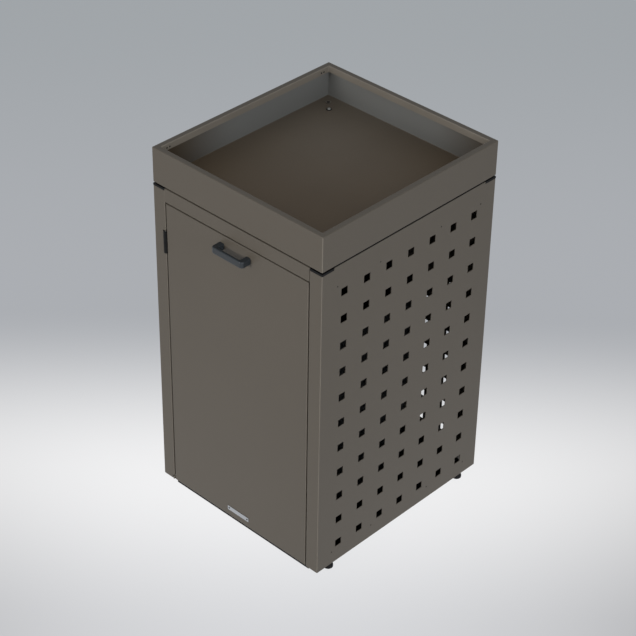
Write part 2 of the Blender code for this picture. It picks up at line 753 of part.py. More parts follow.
def door_panel(assembly):
    """The flush leaf: a front sheet with its four edges folded back."""
    bm = bmesh.new()
    bm.from_mesh(box("door_block", (-DOOR_SIDE, FRONT, BASE), (DOOR_SIDE, DOOR_BACK, DOOR_TOP)))
    rear = [face for face in bm.faces if face.normal.y > 0.5]
    bmesh.ops.delete(bm, geom=rear, context='FACES_ONLY')
    front_face = [face for face in bm.faces if face.normal.y < -0.5][0]
    bmesh.ops.bevel(bm, geom=list(front_face.edges), offset=BEND_RADIUS, segments=BEND_STEPS, profile=0.5,
                    affect='EDGES')
    mesh = finish_mesh("door_panel", bm)
    mesh.shade_smooth()
    mesh.set_sharp_from_angle(angle=SHARP_ANGLE)
    door = assembly.add("door_panel", mesh, assembly.paint)
    thicken(door, SHEET)

    cut_knuckle_notches(assembly, door)
    start, end = FRONT - CUT_MARGIN, FRONT + CUT_MARGIN
    screw_hole = rod("door_screw_hole", SCREW_RADIUS + PIN_CLEARANCE, start, end, 'Y', SMALL_STEPS)
    rivet_hole = rod("door_rivet_hole", RIVET_RADIUS + PIN_CLEARANCE, start, end, 'Y', SMALL_STEPS)
    for side in (-1, 1):
        assembly.cut(door, f"door_screw_hole_{side + 1}", screw_hole, screw_place(side))
        assembly.cut(door, f"door_rivet_hole_{side + 1}", rivet_hole, rivet_place(side))
    return door


def screw_place(side):
    return (side * (HANDLE_LENGTH - HANDLE_LEG) / 2, 0.0, HANDLE_Z)


def rivet_place(side):
    return (side * (PLATE_LENGTH / 2 - RIVET_INSET), 0.0, BASE + PLATE_LOW + PLATE_HEIGHT / 2)


def door_stiffener(assembly):
    """A hat channel down the middle of the leaf's inner side."""
    root = FRONT + SHEET + FIT
    crest = root + STIFFENER_DEPTH
    web = STIFFENER_WEB / 2
    corners = [(-web - STIFFENER_FLANGE, root), (-web, root), (-web, crest), (web, crest), (web, root),
               (web + STIFFENER_FLANGE, root)]
    mesh = folded_sheet("door_stiffener", corners, BASE + STIFFENER_MARGIN, DOOR_TOP - STIFFENER_MARGIN, 'Z',
                        2 * STIFFENER_SHEET)
    stiffener = assembly.add("door_stiffener", mesh, assembly.paint)
    thicken(stiffener, STIFFENER_SHEET)
    return stiffener


def pull_handle(assembly):
    """A moulded bow with rounded corners, on the middle line near the top of the door."""
    half = HANDLE_LENGTH / 2
    rear = FRONT - FIT
    front = FRONT - HANDLE_REACH
    outer = [(-half, rear), (-half, front), (half, front), (half, rear)]
    inner_half = half - HANDLE_LEG
    inner_front = front + HANDLE_BAR_DEPTH
    inner = [(inner_half, rear), (inner_half, inner_front), (-inner_half, inner_front), (-inner_half, rear)]
    points = rounded_path(outer, HANDLE_CORNER, 2 * BEND_STEPS)
    points += rounded_path(inner, HANDLE_CORNER / 2, BEND_STEPS)
    low = HANDLE_Z - HANDLE_BAR_HEIGHT / 2
    mesh = outline_solid("pull_handle", points, low, low + HANDLE_BAR_HEIGHT)
    bm = bmesh.new()
    bm.from_mesh(mesh)
    bmesh.ops.dissolve_limit(bm, angle_limit=math.radians(1), verts=bm.verts, edges=bm.edges)
    long_edges = []
    for edge in bm.edges:
        on_door = all(abs(vert.co.y - rear) < WELD for vert in edge.verts)
        level = abs(edge.verts[0].co.z - edge.verts[1].co.z) < WELD
        if level and not on_door:
            long_edges.append(edge)
    bmesh.ops.bevel(bm, geom=long_edges, offset=HANDLE_EDGE, segments=EDGE_STEPS, profile=0.5, affect='EDGES')
    bm.to_mesh(mesh)
    bm.free()
    handle = assembly.add("pull_handle", mesh, assembly.handle_plastic)
    pilot = rod("handle_pilot", SCREW_RADIUS + PIN_CLEARANCE, FRONT - SCREW_DEPTH - FIT, FRONT + CUT_MARGIN,
                'Y', SMALL_STEPS)
    for side in (-1, 1):
        assembly.cut(handle, f"handle_pilot_{side + 1}", pilot, screw_place(side))
    return handle


def handle_screws(assembly):
    seat = FRONT + SHEET + FIT
    pieces = []
    for label, side in (("left", -1), ("right", 1)):
        name = f"handle_screw_{label}"
        place = screw_place(side)
        shank = rod(name, SCREW_RADIUS, FRONT - SCREW_DEPTH, seat + SCREW_HEAD / 2, 'Y', SMALL_STEPS)
        screw = assembly.add(name, shank, assembly.steel, place)
        head = rod(name + "_head", SCREW_HEAD_RADIUS, seat, seat + SCREW_HEAD, 'Y', SMALL_STEPS)
        assembly.join(screw, name + "_head", head, place)
        pieces.append(screw)
    return pieces


def name_plate(assembly):
    """A bare metal plate low on the door, held by two rivets."""
    rear = FRONT - FIT
    front = rear - PLATE_THICKNESS
    low = (-PLATE_LENGTH / 2, front, BASE + PLATE_LOW)
    high = (PLATE_LENGTH / 2, rear, BASE + PLATE_LOW + PLATE_HEIGHT)
    plate = assembly.add("name_plate", box("name_plate", low, high), assembly.plate)
    hole = rod("plate_hole", RIVET_RADIUS + PIN_CLEARANCE, front - CUT_MARGIN, rear + CUT_MARGIN, 'Y',
               SMALL_STEPS)
    head_rear = front - FIT
    shank_end = FRONT + SHEET + RIVET_GRIP
    pieces = [plate]
    for label, side in (("left", -1), ("right", 1)):
        place = rivet_place(side)
        assembly.cut(plate, f"plate_hole_{label}", hole, place)
        name = f"plate_rivet_{label}"
        shank = rod(name, RIVET_RADIUS, head_rear - RIVET_HEAD / 2, shank_end, 'Y', SMALL_STEPS)
        rivet = assembly.add(name, shank, assembly.black_steel, place)
        head = rod(name + "_head", RIVET_HEAD_RADIUS, head_rear - RIVET_HEAD, head_rear, 'Y', SMALL_STEPS)
        assembly.join(rivet, name + "_head", head, place)
        pieces.append(rivet)
    return pieces


def cut_knuckle_notches(assembly, sheet):
    """Clears the knuckles of the hinge and of the pivot from the post or from the door."""
    notches = (("hinge", HINGE_RADIUS, HINGE_BASE - HINGE_CLEARANCE, HINGE_TOP + HINGE_CLEARANCE),
               ("pivot", PIVOT_RADIUS, BASE - CUT_MARGIN, PIVOT_TOP + HINGE_CLEARANCE))
    for label, radius, low, high in notches:
        name = f"{sheet.name}_{label}_notch"
        reach = radius + HINGE_CLEARANCE
        near = (HINGE_X - reach, FRONT - CUT_MARGIN, low)
        far = (HINGE_X + reach, HINGE_Y + reach, high)
        assembly.cut(sheet, name, box(name, near, far))


def knuckle_half(assembly, name, material, radius, bore_radius, low, high, leaf_outer, leaf_inner,
                 leaf_reach):
    """A knuckle on the hinge axis with a leaf that reaches back into the gap beside the door."""
    place = (HINGE_X, HINGE_Y, 0.0)
    knuckle = assembly.add(name, rod(name, radius, low, high), material, place)
    leaf = box(name + "_leaf", (leaf_outer, HINGE_Y, low), (leaf_inner, HINGE_Y + leaf_reach, high))
    web = box(name + "_web", (HINGE_X, HINGE_Y - HINGE_LEAF / 2, low),
              ((leaf_outer + leaf_inner) / 2, HINGE_Y + HINGE_LEAF / 2, high))
    assembly.join(knuckle, name + "_leaf", leaf)
    assembly.join(knuckle, name + "_web", web)
    bore = rod(name + "_bore", bore_radius, low - CUT_MARGIN, high + CUT_MARGIN)
    assembly.cut(knuckle, name + "_bore", bore, place)
    return knuckle


def knuckle_pair(assembly, label, material, radius, pin_radius, low, high, leaf_reach):
    """A lower half on the post, an upper half on the door, and the pin through both."""
    middle = (low + high) / 2
    bore_radius = pin_radius + PIN_CLEARANCE
    post_side = -OPENING + FIT
    door_side = -DOOR_SIDE - FIT
    knuckle_half(assembly, f"{label}_post_half", material, radius, bore_radius, low, middle - FIT / 2,
                 post_side, post_side + HINGE_LEAF, leaf_reach)
    door_half = knuckle_half(assembly, f"{label}_door_half", material, radius, bore_radius, middle + FIT / 2,
                             high, door_side - HINGE_LEAF, door_side, leaf_reach)
    pin = rod(f"{label}_pin", pin_radius, low, high)
    assembly.add(f"{label}_pin", pin, assembly.steel, (HINGE_X, HINGE_Y, 0.0))
    return door_half


def upper_hinge(assembly):
    """The visible barrel near the top of the door."""
    return knuckle_pair(assembly, "hinge", assembly.black_steel, HINGE_RADIUS, HINGE_PIN_RADIUS, HINGE_BASE,
                        HINGE_TOP, HINGE_LEAF_REACH)


def lower_pivot(assembly):
    """The small painted knuckle that is tucked into the foot of the gap beside the door."""
    return knuckle_pair(assembly, "pivot", assembly.paint, PIVOT_RADIUS, PIVOT_PIN_RADIUS, BASE, PIVOT_TOP,
                        PIVOT_LEAF_REACH)


def magnetic_catch(assembly):
    """A magnet block under the front rail and the folded plate on the door that it holds."""
    low_x = CATCH_OFFSET - CATCH_LENGTH / 2
    high_x = CATCH_OFFSET + CATCH_LENGTH / 2
    plate_top = DOOR_TOP - SHEET - FIT
    plate_rear = DOOR_BACK + FIT + CATCH_PLATE
    corners = [
        (DOOR_BACK - CATCH_PLATE_REACH, plate_top),
        (plate_rear, plate_top),
        (plate_rear, plate_top - CATCH_PLATE_DROP),
    ]
    leaf = folded_sheet("catch_plate", corners, low_x, high_x, 'X', CATCH_PLATE)
    leaf.flip_normals()
    plate = assembly.add("catch_plate", leaf, assembly.steel)
    thicken(plate, CATCH_PLATE)
    magnet_front = plate_rear + FIT
    magnet_top = RAIL_BASE - FIT
    magnet = box("magnet_catch", (low_x, magnet_front, magnet_top - CATCH_HEIGHT),
                 (high_x, magnet_front + CATCH_DEPTH, magnet_top))
    assembly.add("magnet_catch", magnet, assembly.plastic)
    return plate


# Container

def scale_outline(bm, verts, centre, growth):
    """Moves the container's outline outwards by the growth, or inwards where that is negative."""
    scale = Vector((1 + 2 * growth / CONTAINER_WIDTH, 1 + 2 * growth / CONTAINER_DEPTH, 1))
    bmesh.ops.scale(bm, vec=scale, verts=verts, space=Matrix.Translation(-centre))


def litter_container(assembly):
    """A tapered open bin with a rim, and an ear on each side for the bail."""
    bm = bmesh.new()
    half = Vector((CONTAINER_WIDTH / 2, CONTAINER_DEPTH / 2, 0))
    centre = Vector((0, CONTAINER_Y, 0))
    low = centre - half + Vector((0, 0, CONTAINER_BASE))
    high = centre + half + Vector((0, 0, CONTAINER_TOP - CONTAINER_WALL))
    bm.from_mesh(box("container_block", low, high))
    foot = [vert for vert in bm.verts if vert.co.z < CONTAINER_BASE + CONTAINER_HEIGHT / 2]
    scale_outline(bm, foot, centre, -CONTAINER_TAPER)
    tall = CONTAINER_HEIGHT / 2
    upright = [edge for edge in bm.edges if abs(edge.verts[0].co.z - edge.verts[1].co.z) > tall]
    bmesh.ops.bevel(bm, geom=upright, offset=CONTAINER_CORNER, segments=BEND_STEPS, profile=0.5,
                    affect='EDGES')
    lid = [face for face in bm.faces if face.normal.z > 0.5]
    bmesh.ops.delete(bm, geom=lid, context='FACES_ONLY')
    border = [edge for edge in bm.edges if edge.is_boundary]
    drawn = bmesh.ops.extrude_edge_only(bm, edges=border)["geom"]
    rim = [item for item in drawn if isinstance(item, bmesh.types.BMVert)]
    scale_outline(bm, rim, centre, CONTAINER_RIM)
    bmesh.ops.recalc_face_normals(bm, faces=bm.faces)
    bottom = min(bm.faces, key=lambda face: face.calc_center_median().z)
    if bottom.normal.z > 0:
        bmesh.ops.reverse_faces(bm, faces=bm.faces)
    container = assembly.add("litter_container", finish_mesh("litter_container", bm), assembly.bin_plastic)
    thicken(container, CONTAINER_WALL)

    bore = rod("ear_bore", BAIL_RADIUS + PIN_CLEARANCE, -EAR_THICKNESS, EAR_THICKNESS, 'X', SMALL_STEPS)
    for label, side in (("left", -1), ("right", 1)):
        ear_x = sorted((side * (EAR_X - EAR_THICKNESS / 2), side * (EAR_X + EAR_THICKNESS / 2)))
        low = (ear_x[0], CONTAINER_Y - EAR_WIDTH / 2, CONTAINER_TOP - CONTAINER_WALL / 2)
        high = (ear_x[1], CONTAINER_Y + EAR_WIDTH / 2, CONTAINER_TOP + EAR_HEIGHT)
        assembly.join(container, f"container_ear_{label}", box(f"container_ear_{label}", low, high))
        assembly.cut(container, f"container_ear_bore_{label}", bore, (side * EAR_X, CONTAINER_Y, BAIL_Z))
    return container


def container_bail(assembly):
    """The wire bail, folded down on the front rim, with its ends turned in through the ears."""
    tip = EAR_X - EAR_THICKNESS
    corners = [(-BAIL_X, 0.0), (-BAIL_X, -BAIL_ARM), (BAIL_X, -BAIL_ARM), (BAIL_X, 0.0)]
    path = rounded_path(corners, BAIL_CORNER, 2 * BEND_STEPS)
    points = [(-tip, 0.0), *path, (tip, 0.0)]
    curve = bpy.data.curves.new("container_bail", 'CURVE')
    curve.dimensions = '3D'
    curve.bevel_depth = BAIL_RADIUS
    curve.bevel_resolution = WIRE_STEPS
    curve.use_fill_caps = True
    spline = curve.splines.new('POLY')
    spline.points.add(len(points) - 1)
    for point, (x, y) in zip(spline.points, points):
        point.co = (x, y, 0.0, 1.0)
    mesh = mesh_of_curve("container_bail", curve)
    return assembly.add("container_bail", mesh, assembly.steel, (0.0, CONTAINER_Y, BAIL_Z))


def main():
    clear_scene()
    assembly = Assembly()

    cut_knuckle_notches(assembly, side_panel(assembly, "left_side_panel", -1))
    side_panel(assembly, "right_side_panel", 1)
    back_panel(assembly)
    front_top_rail(assembly)
    for corner in CORNERS:
        corner_cap(assembly, *corner)
    for label, side in (("left", -1), ("right", 1)):
        tray_bearer(assembly, f"tray_bearer_{label}", side)
        foot_rail(assembly, f"foot_rail_{label}", side)
    planting_tray(assembly)
    drain_outlet(assembly)
    tray_fasteners(assembly)
    levelling_feet(assembly)
    floor_pan(assembly)
    base_sill(assembly)

    door_pieces = [door_panel(assembly), door_stiffener(assembly), pull_handle(assembly)]
    door_pieces += handle_screws(assembly) + name_plate(assembly)
    door_pieces += [upper_hinge(assembly), lower_pivot(assembly), magnetic_catch(assembly)]
    hang_on(joint_axis(assembly, "door_axis", (HINGE_X, HINGE_Y, BASE)), door_pieces)

    container = litter_container(assembly)
    bail = container_bail(assembly)
    lift = joint_axis(assembly, "container_lift_axis", (0.0, CONTAINER_Y, CONTAINER_BASE))
    hang_on(lift, [container, bail])


main()
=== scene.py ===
"""Dresses the cabinet litter bin: a folded, powder-coated housing with a planting tray on top.

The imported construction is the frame. Each sub-assembly below builds the fine surface of its own pieces,
gives them their finishes and lets them ride on the body that carries them.
"""
from __future__ import annotations

import json
import logging
import math
from dataclasses import dataclass
from enum import Enum
from typing import Any, Callable, Iterable, Sequence

import bmesh
import bpy
from mathutils import Matrix, Vector

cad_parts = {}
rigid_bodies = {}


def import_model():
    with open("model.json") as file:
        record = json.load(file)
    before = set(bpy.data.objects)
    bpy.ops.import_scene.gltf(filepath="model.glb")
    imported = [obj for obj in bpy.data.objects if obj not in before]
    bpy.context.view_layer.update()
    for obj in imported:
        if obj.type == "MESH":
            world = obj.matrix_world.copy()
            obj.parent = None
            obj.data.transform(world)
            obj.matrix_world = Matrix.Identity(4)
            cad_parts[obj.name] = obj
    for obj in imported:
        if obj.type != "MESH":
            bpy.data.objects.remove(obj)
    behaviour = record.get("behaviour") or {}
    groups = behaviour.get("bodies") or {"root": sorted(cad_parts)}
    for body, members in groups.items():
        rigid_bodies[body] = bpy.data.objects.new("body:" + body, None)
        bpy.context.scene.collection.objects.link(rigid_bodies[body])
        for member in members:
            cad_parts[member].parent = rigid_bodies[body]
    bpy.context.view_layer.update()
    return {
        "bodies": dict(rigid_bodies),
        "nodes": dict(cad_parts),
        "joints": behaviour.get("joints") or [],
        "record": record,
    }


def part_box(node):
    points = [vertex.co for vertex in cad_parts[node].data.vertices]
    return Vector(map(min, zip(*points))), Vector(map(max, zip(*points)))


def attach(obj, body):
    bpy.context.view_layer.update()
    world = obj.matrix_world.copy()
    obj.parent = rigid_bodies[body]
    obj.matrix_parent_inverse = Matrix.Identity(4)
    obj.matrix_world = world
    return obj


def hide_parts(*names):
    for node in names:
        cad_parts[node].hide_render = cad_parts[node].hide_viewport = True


LOG = logging.getLogger("litter_bin")
MM = 0.001
# The clearance between pieces that lie against each other, and half the width of the door's opening.
FIT = 0.3 * MM
OPENING_HALF = 278.0 * MM
# How far cutters reach past what they cut, and how close points are before they are welded.
CUT = 6.0 * MM
WELD = 0.01 * MM
SHARP_ANGLE = math.radians(35)
FLAT_ANGLE = math.radians(1)
ROUNDING_STEPS = 2
DOME_STEPS = 6
HEXAGON = 6
ROUND_PROFILE = 0.5
# How far a face's normal may rise, and how far it has to turn from both walls, to be on an upright bend.
BEND_RISE = 0.3
BEND_TURN = 0.45
# The places of a colour Mix node's sockets, because their names are used more than once.
MIX_SHARE = 0
MIX_FIRST = 6
MIX_SECOND = 7
MIX_RESULT = 2
Point = tuple[float, float]


class Slot(Enum):
    """The record's material slots."""

    PAINT = "paint"
    BLACK_STEEL = "black_steel"
    PLASTIC = "plastic"
    HANDLE = "handle_plastic"
    BIN = "bin_plastic"
    RUBBER = "rubber"
    STEEL = "steel"
    PLATE = "plate"


class Body(Enum):
    """The bodies that pieces ride on."""

    CABINET = "cabinet"
    DOOR = "door"
    CONTAINER = "container"
    BAIL = "bail"
    FOOT_FRONT_LEFT = "foot_front_left"
    FOOT_FRONT_RIGHT = "foot_front_right"
    FOOT_REAR_LEFT = "foot_rear_left"
    FOOT_REAR_RIGHT = "foot_rear_right"


class Side(Enum):
    """The two sides of the housing, by the sign of x."""

    LEFT = -1
    RIGHT = 1

    @property
    def label(self) -> str:
        """The side's name as the nodes use it."""
        return self.name.lower()


class Corner(Enum):
    """The four corners, by their names as the nodes use them."""

    FRONT_LEFT = "front_left"
    FRONT_RIGHT = "front_right"
    REAR_LEFT = "rear_left"
    REAR_RIGHT = "rear_right"


class Axis(Enum):
    """The axis that an outline is drawn out along, with the shift that puts its coordinates in order."""

    Z = 0
    X = 1
    Y = 2


def linear(colour: str) -> tuple[float, float, float, float]:
    """Turns an sRGB hex colour into linear values.

    Args:
        colour: The colour as "#RRGGBB".

    Returns:
        Linear red, green and blue, with an alpha of 1.
    """
    values = []
    for start in (1, 3, 5):
        level = int(colour[start:start + 2], 16) / 255
        values.append(level / 12.92 if level <= 0.04045 else ((level + 0.055) / 1.055) ** 2.4)
    return (values[0], values[1], values[2], 1.0)


def add_node(tree: bpy.types.NodeTree, kind: str, values: dict[Any, Any] | None = None,
             links: dict[Any, bpy.types.NodeSocket] | None = None, **settings: Any) -> bpy.types.Node:
    """Adds a node with its settings, socket values and incoming links.

    Args:
        tree: The tree that gets the node.
        kind: The node's type name.
        values: Values for input sockets, by name or index.
        links: Sockets to link from, by the input's name or index.
        **settings: Properties of the node itself.

    Returns:
        The new node.
    """
    node = tree.nodes.new(kind)
    for key, value in settings.items():
        setattr(node, key, value)
    for key, value in (values or {}).items():
        node.inputs[key].default_value = value
    for key, socket in (links or {}).items():
        tree.links.new(socket, node.inputs[key])
    return node


@dataclass(frozen=True)
class Finish:
    """A surface finish: its colour and gloss, the grain left by its making, and its slow clouding.

    The grain is the bump's spacing and the cloud the size of the colour's slow changes, both in millimetres.
    Stretch draws the grain out along an axis, as brushing does. A painted shade is a colour that takes over
    with the distance from an unshaded place, standing in for shade.
    """

    name: str
    colour: str
    roughness: float
    metallic: float = 0.0
    ior: float = 1.5
    specular: float = 0.5
    grain_mm: float = 2.0
    grain_height_mm: float = 0.05
    grain_strength: float = 0.15
    grain_detail: float = 2.0
    roughness_spread: float = 0.06
    cloud_mm: float = 160.0
    cloud: float = 0.04
    cloud_detail: float = 3.0
    stretch: tuple[float, float, float] = (1.0, 1.0, 1.0)
    stain: str = ""
    stain_from_mm: float = 0.0
    stain_to_mm: float = 1.0

    def material(self, unshaded_place: Sequence[float] = (0.0, 0.0, 0.0)) -> bpy.types.Material:
        """Builds the node material.

        Args:
            unshaded_place: The place that the painted shade grows away from.

        Returns:
            The material, which reads Object coordinates.
        """
        material = bpy.data.materials.new(self.name)
        material.use_nodes = True
        tree = material.node_tree
        shader = tree.nodes["Principled BSDF"]
        place = add_node(tree, "ShaderNodeTexCoord").outputs["Object"]
        drawn = add_node(tree, "ShaderNodeMapping", {"Scale": self.stretch}, {"Vector": place})
        grain = add_node(tree, "ShaderNodeTexNoise",
                         {"Scale": 1 / (self.grain_mm * MM), "Detail": self.grain_detail},
                         {"Vector": drawn.outputs["Vector"]})
        cloud = add_node(tree, "ShaderNodeTexNoise",
                         {"Scale": 1 / (self.cloud_mm * MM), "Detail": self.cloud_detail},
                         {"Vector": place})
        base = linear(self.colour)
        dark = tuple(level * (1 - self.cloud) for level in base[:3]) + (1.0,)
        light = tuple(level * (1 + self.cloud) for level in base[:3]) + (1.0,)
        tint = add_node(tree, "ShaderNodeMix", {MIX_FIRST: dark, MIX_SECOND: light},
                        {MIX_SHARE: cloud.outputs["Fac"]}, data_type='RGBA')
        gloss = add_node(tree, "ShaderNodeMapRange",
                         {"To Min": self.roughness - self.roughness_spread,
                          "To Max": self.roughness + self.roughness_spread},
                         {"Value": grain.outputs["Fac"]})
        bump = add_node(tree, "ShaderNodeBump",
                        {"Strength": self.grain_strength, "Distance": self.grain_height_mm * MM},
                        {"Height": grain.outputs["Fac"]})
        # Painted shade: a second colour takes over with the distance from the given place.
        if self.stain:
            gap = add_node(tree, "ShaderNodeVectorMath", {1: unshaded_place}, {0: place}, operation='DISTANCE')
            share = add_node(tree, "ShaderNodeMapRange",
                             {"From Min": self.stain_from_mm * MM, "From Max": self.stain_to_mm * MM},
                             {"Value": gap.outputs["Value"]}, interpolation_type='SMOOTHSTEP')
            tint = add_node(tree, "ShaderNodeMix", {MIX_SECOND: linear(self.stain)},
                            {MIX_SHARE: share.outputs["Result"], MIX_FIRST: tint.outputs[MIX_RESULT]},
                            data_type='RGBA')
        tree.links.new(tint.outputs[MIX_RESULT], shader.inputs["Base Color"])
        tree.links.new(gloss.outputs["Result"], shader.inputs["Roughness"])
        tree.links.new(bump.outputs["Normal"], shader.inputs["Normal"])
        shader.inputs["Metallic"].default_value = self.metallic
        shader.inputs["Specular IOR Level"].default_value = self.specular
        if self.metallic == 0.0:
            shader.inputs["IOR"].default_value = self.ior
        material.diffuse_color = base
        return material


# Polyester powder coat on sheet steel: even, satin, with a fine orange peel that softens its highlights.
# The real peel is about 1 mm; it is drawn at 3 mm so that it shows.
POWDER_COAT = Finish("powder_coat_bronze_grey", "#5C554B", 0.46, ior=1.45, grain_mm=3.0,
                     grain_height_mm=0.06, grain_strength=0.12, cloud_mm=240.0, cloud=0.035)
# The same coat, paler and smoother than the flats beside it, as a painted highlight on bends, the pan's lip
# and the drain's top.
PAINTED_HIGHLIGHT_COAT = Finish("powder_coat_rubbed_bend", "#766F65", 0.42, ior=1.45, grain_mm=3.0,
                     grain_height_mm=0.05, grain_strength=0.1, cloud_mm=70.0, cloud=0.12)
# The same coat on the pan's floor in a tone of its own, paler near the drain as painted light and browner
# away from it, towards the corners, as painted shade.
PAN_FLOOR_PAINTED_LIGHT_AND_SHADE = Finish("powder_coat_stained_brown", "#685F53", 0.55, ior=1.45, grain_mm=4.0,
                        grain_height_mm=0.08, grain_strength=0.2, cloud_mm=120.0, cloud=0.08,
                        stain="#66553F", stain_from_mm=100.0, stain_to_mm=800.0)
# The same coat on the pan's inner walls, paler and greyer as painted light, and dark brown far from the
# drain as the painted shadow that the near walls cast.
PAN_WALL_PAINTED_LIGHT_AND_SHADOW = Finish("powder_coat_limed_grey", "#6E6E6B", 0.55, ior=1.45, grain_mm=3.0,
                       grain_height_mm=0.06, grain_strength=0.14, cloud_mm=150.0, cloud=0.06,
                       stain="#3F3323", stain_from_mm=330.0, stain_to_mm=640.0)
# Black powder coat on plain folded steel, a little rougher than the outside coat.
BLACK_COAT = Finish("powder_coat_black", "#0B0B0B", 0.6, ior=1.45, specular=0.28, grain_mm=3.0,
                    grain_strength=0.2, cloud_mm=90.0, cloud=0.12)
# Injection-moulded polyamide with a fine spark-eroded grain, which looks dark and dull.
MOULDED_BLACK = Finish("moulded_polyamide_black", "#0B0B0C", 0.6, specular=0.22, grain_mm=2.0,
                       grain_height_mm=0.05, grain_strength=0.25, cloud_mm=40.0, cloud=0.10)
# Glass-filled polyamide of the handle: blue-grey, satin where hands have polished it.
HANDLE_POLYAMIDE = Finish("moulded_polyamide_slate", "#2B3034", 0.36, grain_mm=1.6, grain_height_mm=0.04,
                          grain_strength=0.2, cloud_mm=35.0, cloud=0.10)
# Bright zinc plating on machined steel, with a faint spangle.
ZINC = Finish("zinc_plated_steel", "#B9B8B2", 0.34, metallic=1.0, grain_mm=2.5, grain_height_mm=0.03,
              grain_strength=0.2, roughness_spread=0.1, cloud_mm=14.0, cloud=0.08)
# Aluminium brushed along the plate, so that its grain runs with x.
BRUSHED = Finish("brushed_aluminium", "#B2B5B9", 0.33, metallic=1.0, grain_mm=1.5, grain_height_mm=0.03,
                 grain_strength=0.3, roughness_spread=0.1, cloud_mm=30.0, cloud=0.05,
                 stretch=(0.05, 1.0, 1.0))
# Moulded rubber of the sealing washers: matt and slightly mottled.
RUBBER = Finish("moulded_rubber_black", "#1A1A1A", 0.8, ior=1.52, grain_mm=1.5, grain_strength=0.3,
                cloud_mm=10.0, cloud=0.15)
# Rotation-moulded polyethylene of the container, waxy with a soft mottle.
POLYETHYLENE = Finish("polyethylene_dark_grey", "#34373A", 0.5, ior=1.52, grain_mm=5.0,
                      grain_height_mm=0.1, grain_strength=0.25, cloud_mm=60.0, cloud=0.10)

SLOT_FINISHES: dict[Slot, Finish] = {
    Slot.PAINT: POWDER_COAT,
    Slot.BLACK_STEEL: BLACK_COAT,
    Slot.PLASTIC: MOULDED_BLACK,
    Slot.HANDLE: HANDLE_POLYAMIDE,
    Slot.BIN: POLYETHYLENE,
    Slot.RUBBER: RUBBER,
    Slot.STEEL: ZINC,
    Slot.PLATE: BRUSHED,
}


def link(obj: bpy.types.Object) -> bpy.types.Object:
    """Links a new object to the scene and gives it back."""
    bpy.context.scene.collection.objects.link(obj)
    return obj


def new_object(name: str, bm: bmesh.types.BMesh) -> bpy.types.Object:
    """Makes an object of a bmesh and frees the bmesh.

    Args:
        name: The object's name.
        bm: The shape, in place.

    Returns:
        The object, linked to the scene.
    """
    mesh = bpy.data.meshes.new(name)
    bm.to_mesh(mesh)
    bm.free()
    return link(bpy.data.objects.new(name, mesh))


def make_plain(obj: bpy.types.Object) -> None:
    """Gives an object with modifiers its evaluated mesh instead of them.

    Args:
        obj: The object.
    """
    depsgraph = bpy.context.evaluated_depsgraph_get()
    mesh = bpy.data.meshes.new_from_object(obj.evaluated_get(depsgraph), preserve_all_data_layers=True,
                                           depsgraph=depsgraph)
    obj.modifiers.clear()
    old = obj.data
    name = old.name
    obj.data = mesh
    bpy.data.meshes.remove(old)
    mesh.name = name


def smooth(obj: bpy.types.Object) -> None:
    """Shades an object smooth, with its sharp edges kept and its flat faces flat.

    Args:
        obj: The object.
    """
    obj.data.shade_smooth()
    obj.data.set_sharp_from_angle(angle=SHARP_ANGLE)
    weighted = obj.modifiers.new("flat_faces", 'WEIGHTED_NORMAL')
    weighted.keep_sharp = True
    make_plain(obj)


def coat(obj: bpy.types.Object, materials: Sequence[bpy.types.Material],
         choose: Callable[[bpy.types.MeshPolygon], int] | None = None) -> None:
    """Gives an object its materials and picks one of them for each face.

    Args:
        obj: The object.
        materials: The materials, in order.
        choose: Gives a face's place in that order; without it every face takes the first.
    """
    obj.data.materials.clear()
    for material in materials:
        obj.data.materials.append(material)
    for face in obj.data.polygons:
        face.material_index = choose(face) if choose else 0


def on_upright_bend(face: bpy.types.MeshPolygon) -> bool:
    """Tells whether a face lies in the middle of an upright bend."""
    across, along, rise = (abs(level) for level in face.normal)
    return rise < BEND_RISE and min(across, along) > BEND_TURN


def axis_of(node: str) -> Vector:
    """Gives the upright axis through the middle of a node.

    Args:
        node: The node.

    Returns:
        The axis's place at height zero.
    """
    low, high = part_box(node)
    middle = (low + high) / 2
    return Vector((middle.x, middle.y, 0.0))


def corner_nodes(stem: str) -> list[str]:
    """Names the four nodes of a piece that each corner has."""
    return [f"{stem}_{corner.value}" for corner in Corner]


def add_block(bm: bmesh.types.BMesh, low: Sequence[float], high: Sequence[float]) -> None:
    """Adds a block between two corners.

    Args:
        bm: The bmesh that gets it.
        low: Its lowest corner.
        high: Its highest corner.
    """
    low, high = Vector(low), Vector(high)
    verts = bmesh.ops.create_cube(bm, size=1.0)["verts"]
    bmesh.ops.transform(bm, matrix=Matrix.Diagonal((*(high - low), 1.0)), verts=verts)
    bmesh.ops.translate(bm, vec=(low + high) / 2, verts=verts)


def block(name: str, low: Sequence[float], high: Sequence[float]) -> bpy.types.Object:
    """Makes a block between two corners, for cuts and joins.

    Args:
        name: The object's name.
        low: Its lowest corner.
        high: Its highest corner.

    Returns:
        The block.
    """
    bm = bmesh.new()
    add_block(bm, low, high)
    return new_object(name, bm)


def bent_line(corners: Sequence[Point], radius: float, steps: int) -> list[Vector]:
    """Rounds the inner corners of an open line.

    Args:
        corners: The line's corners.
        radius: The bends' radius.
        steps: Straight steps in each bend.

    Returns:
        The points of the bent line.
    """
    points = [Vector(corners[0])]
    for before, corner, after in zip(corners, corners[1:], corners[2:]):
        middle = Vector(corner)
        back = (Vector(before) - middle).normalized()
        ahead = (Vector(after) - middle).normalized()
        half = back.angle(ahead) / 2
        centre = middle + (back + ahead).normalized() * radius / math.sin(half)
        first = middle + back * radius / math.tan(half) - centre
        last = middle + ahead * radius / math.tan(half) - centre
        turn = first.angle(last)
        for step in range(steps + 1):
            share = step / steps
            arm = first * math.sin((1 - share) * turn) + last * math.sin(share * turn)
            points.append(centre + arm / math.sin(turn))
    points.append(Vector(corners[-1]))
    return points


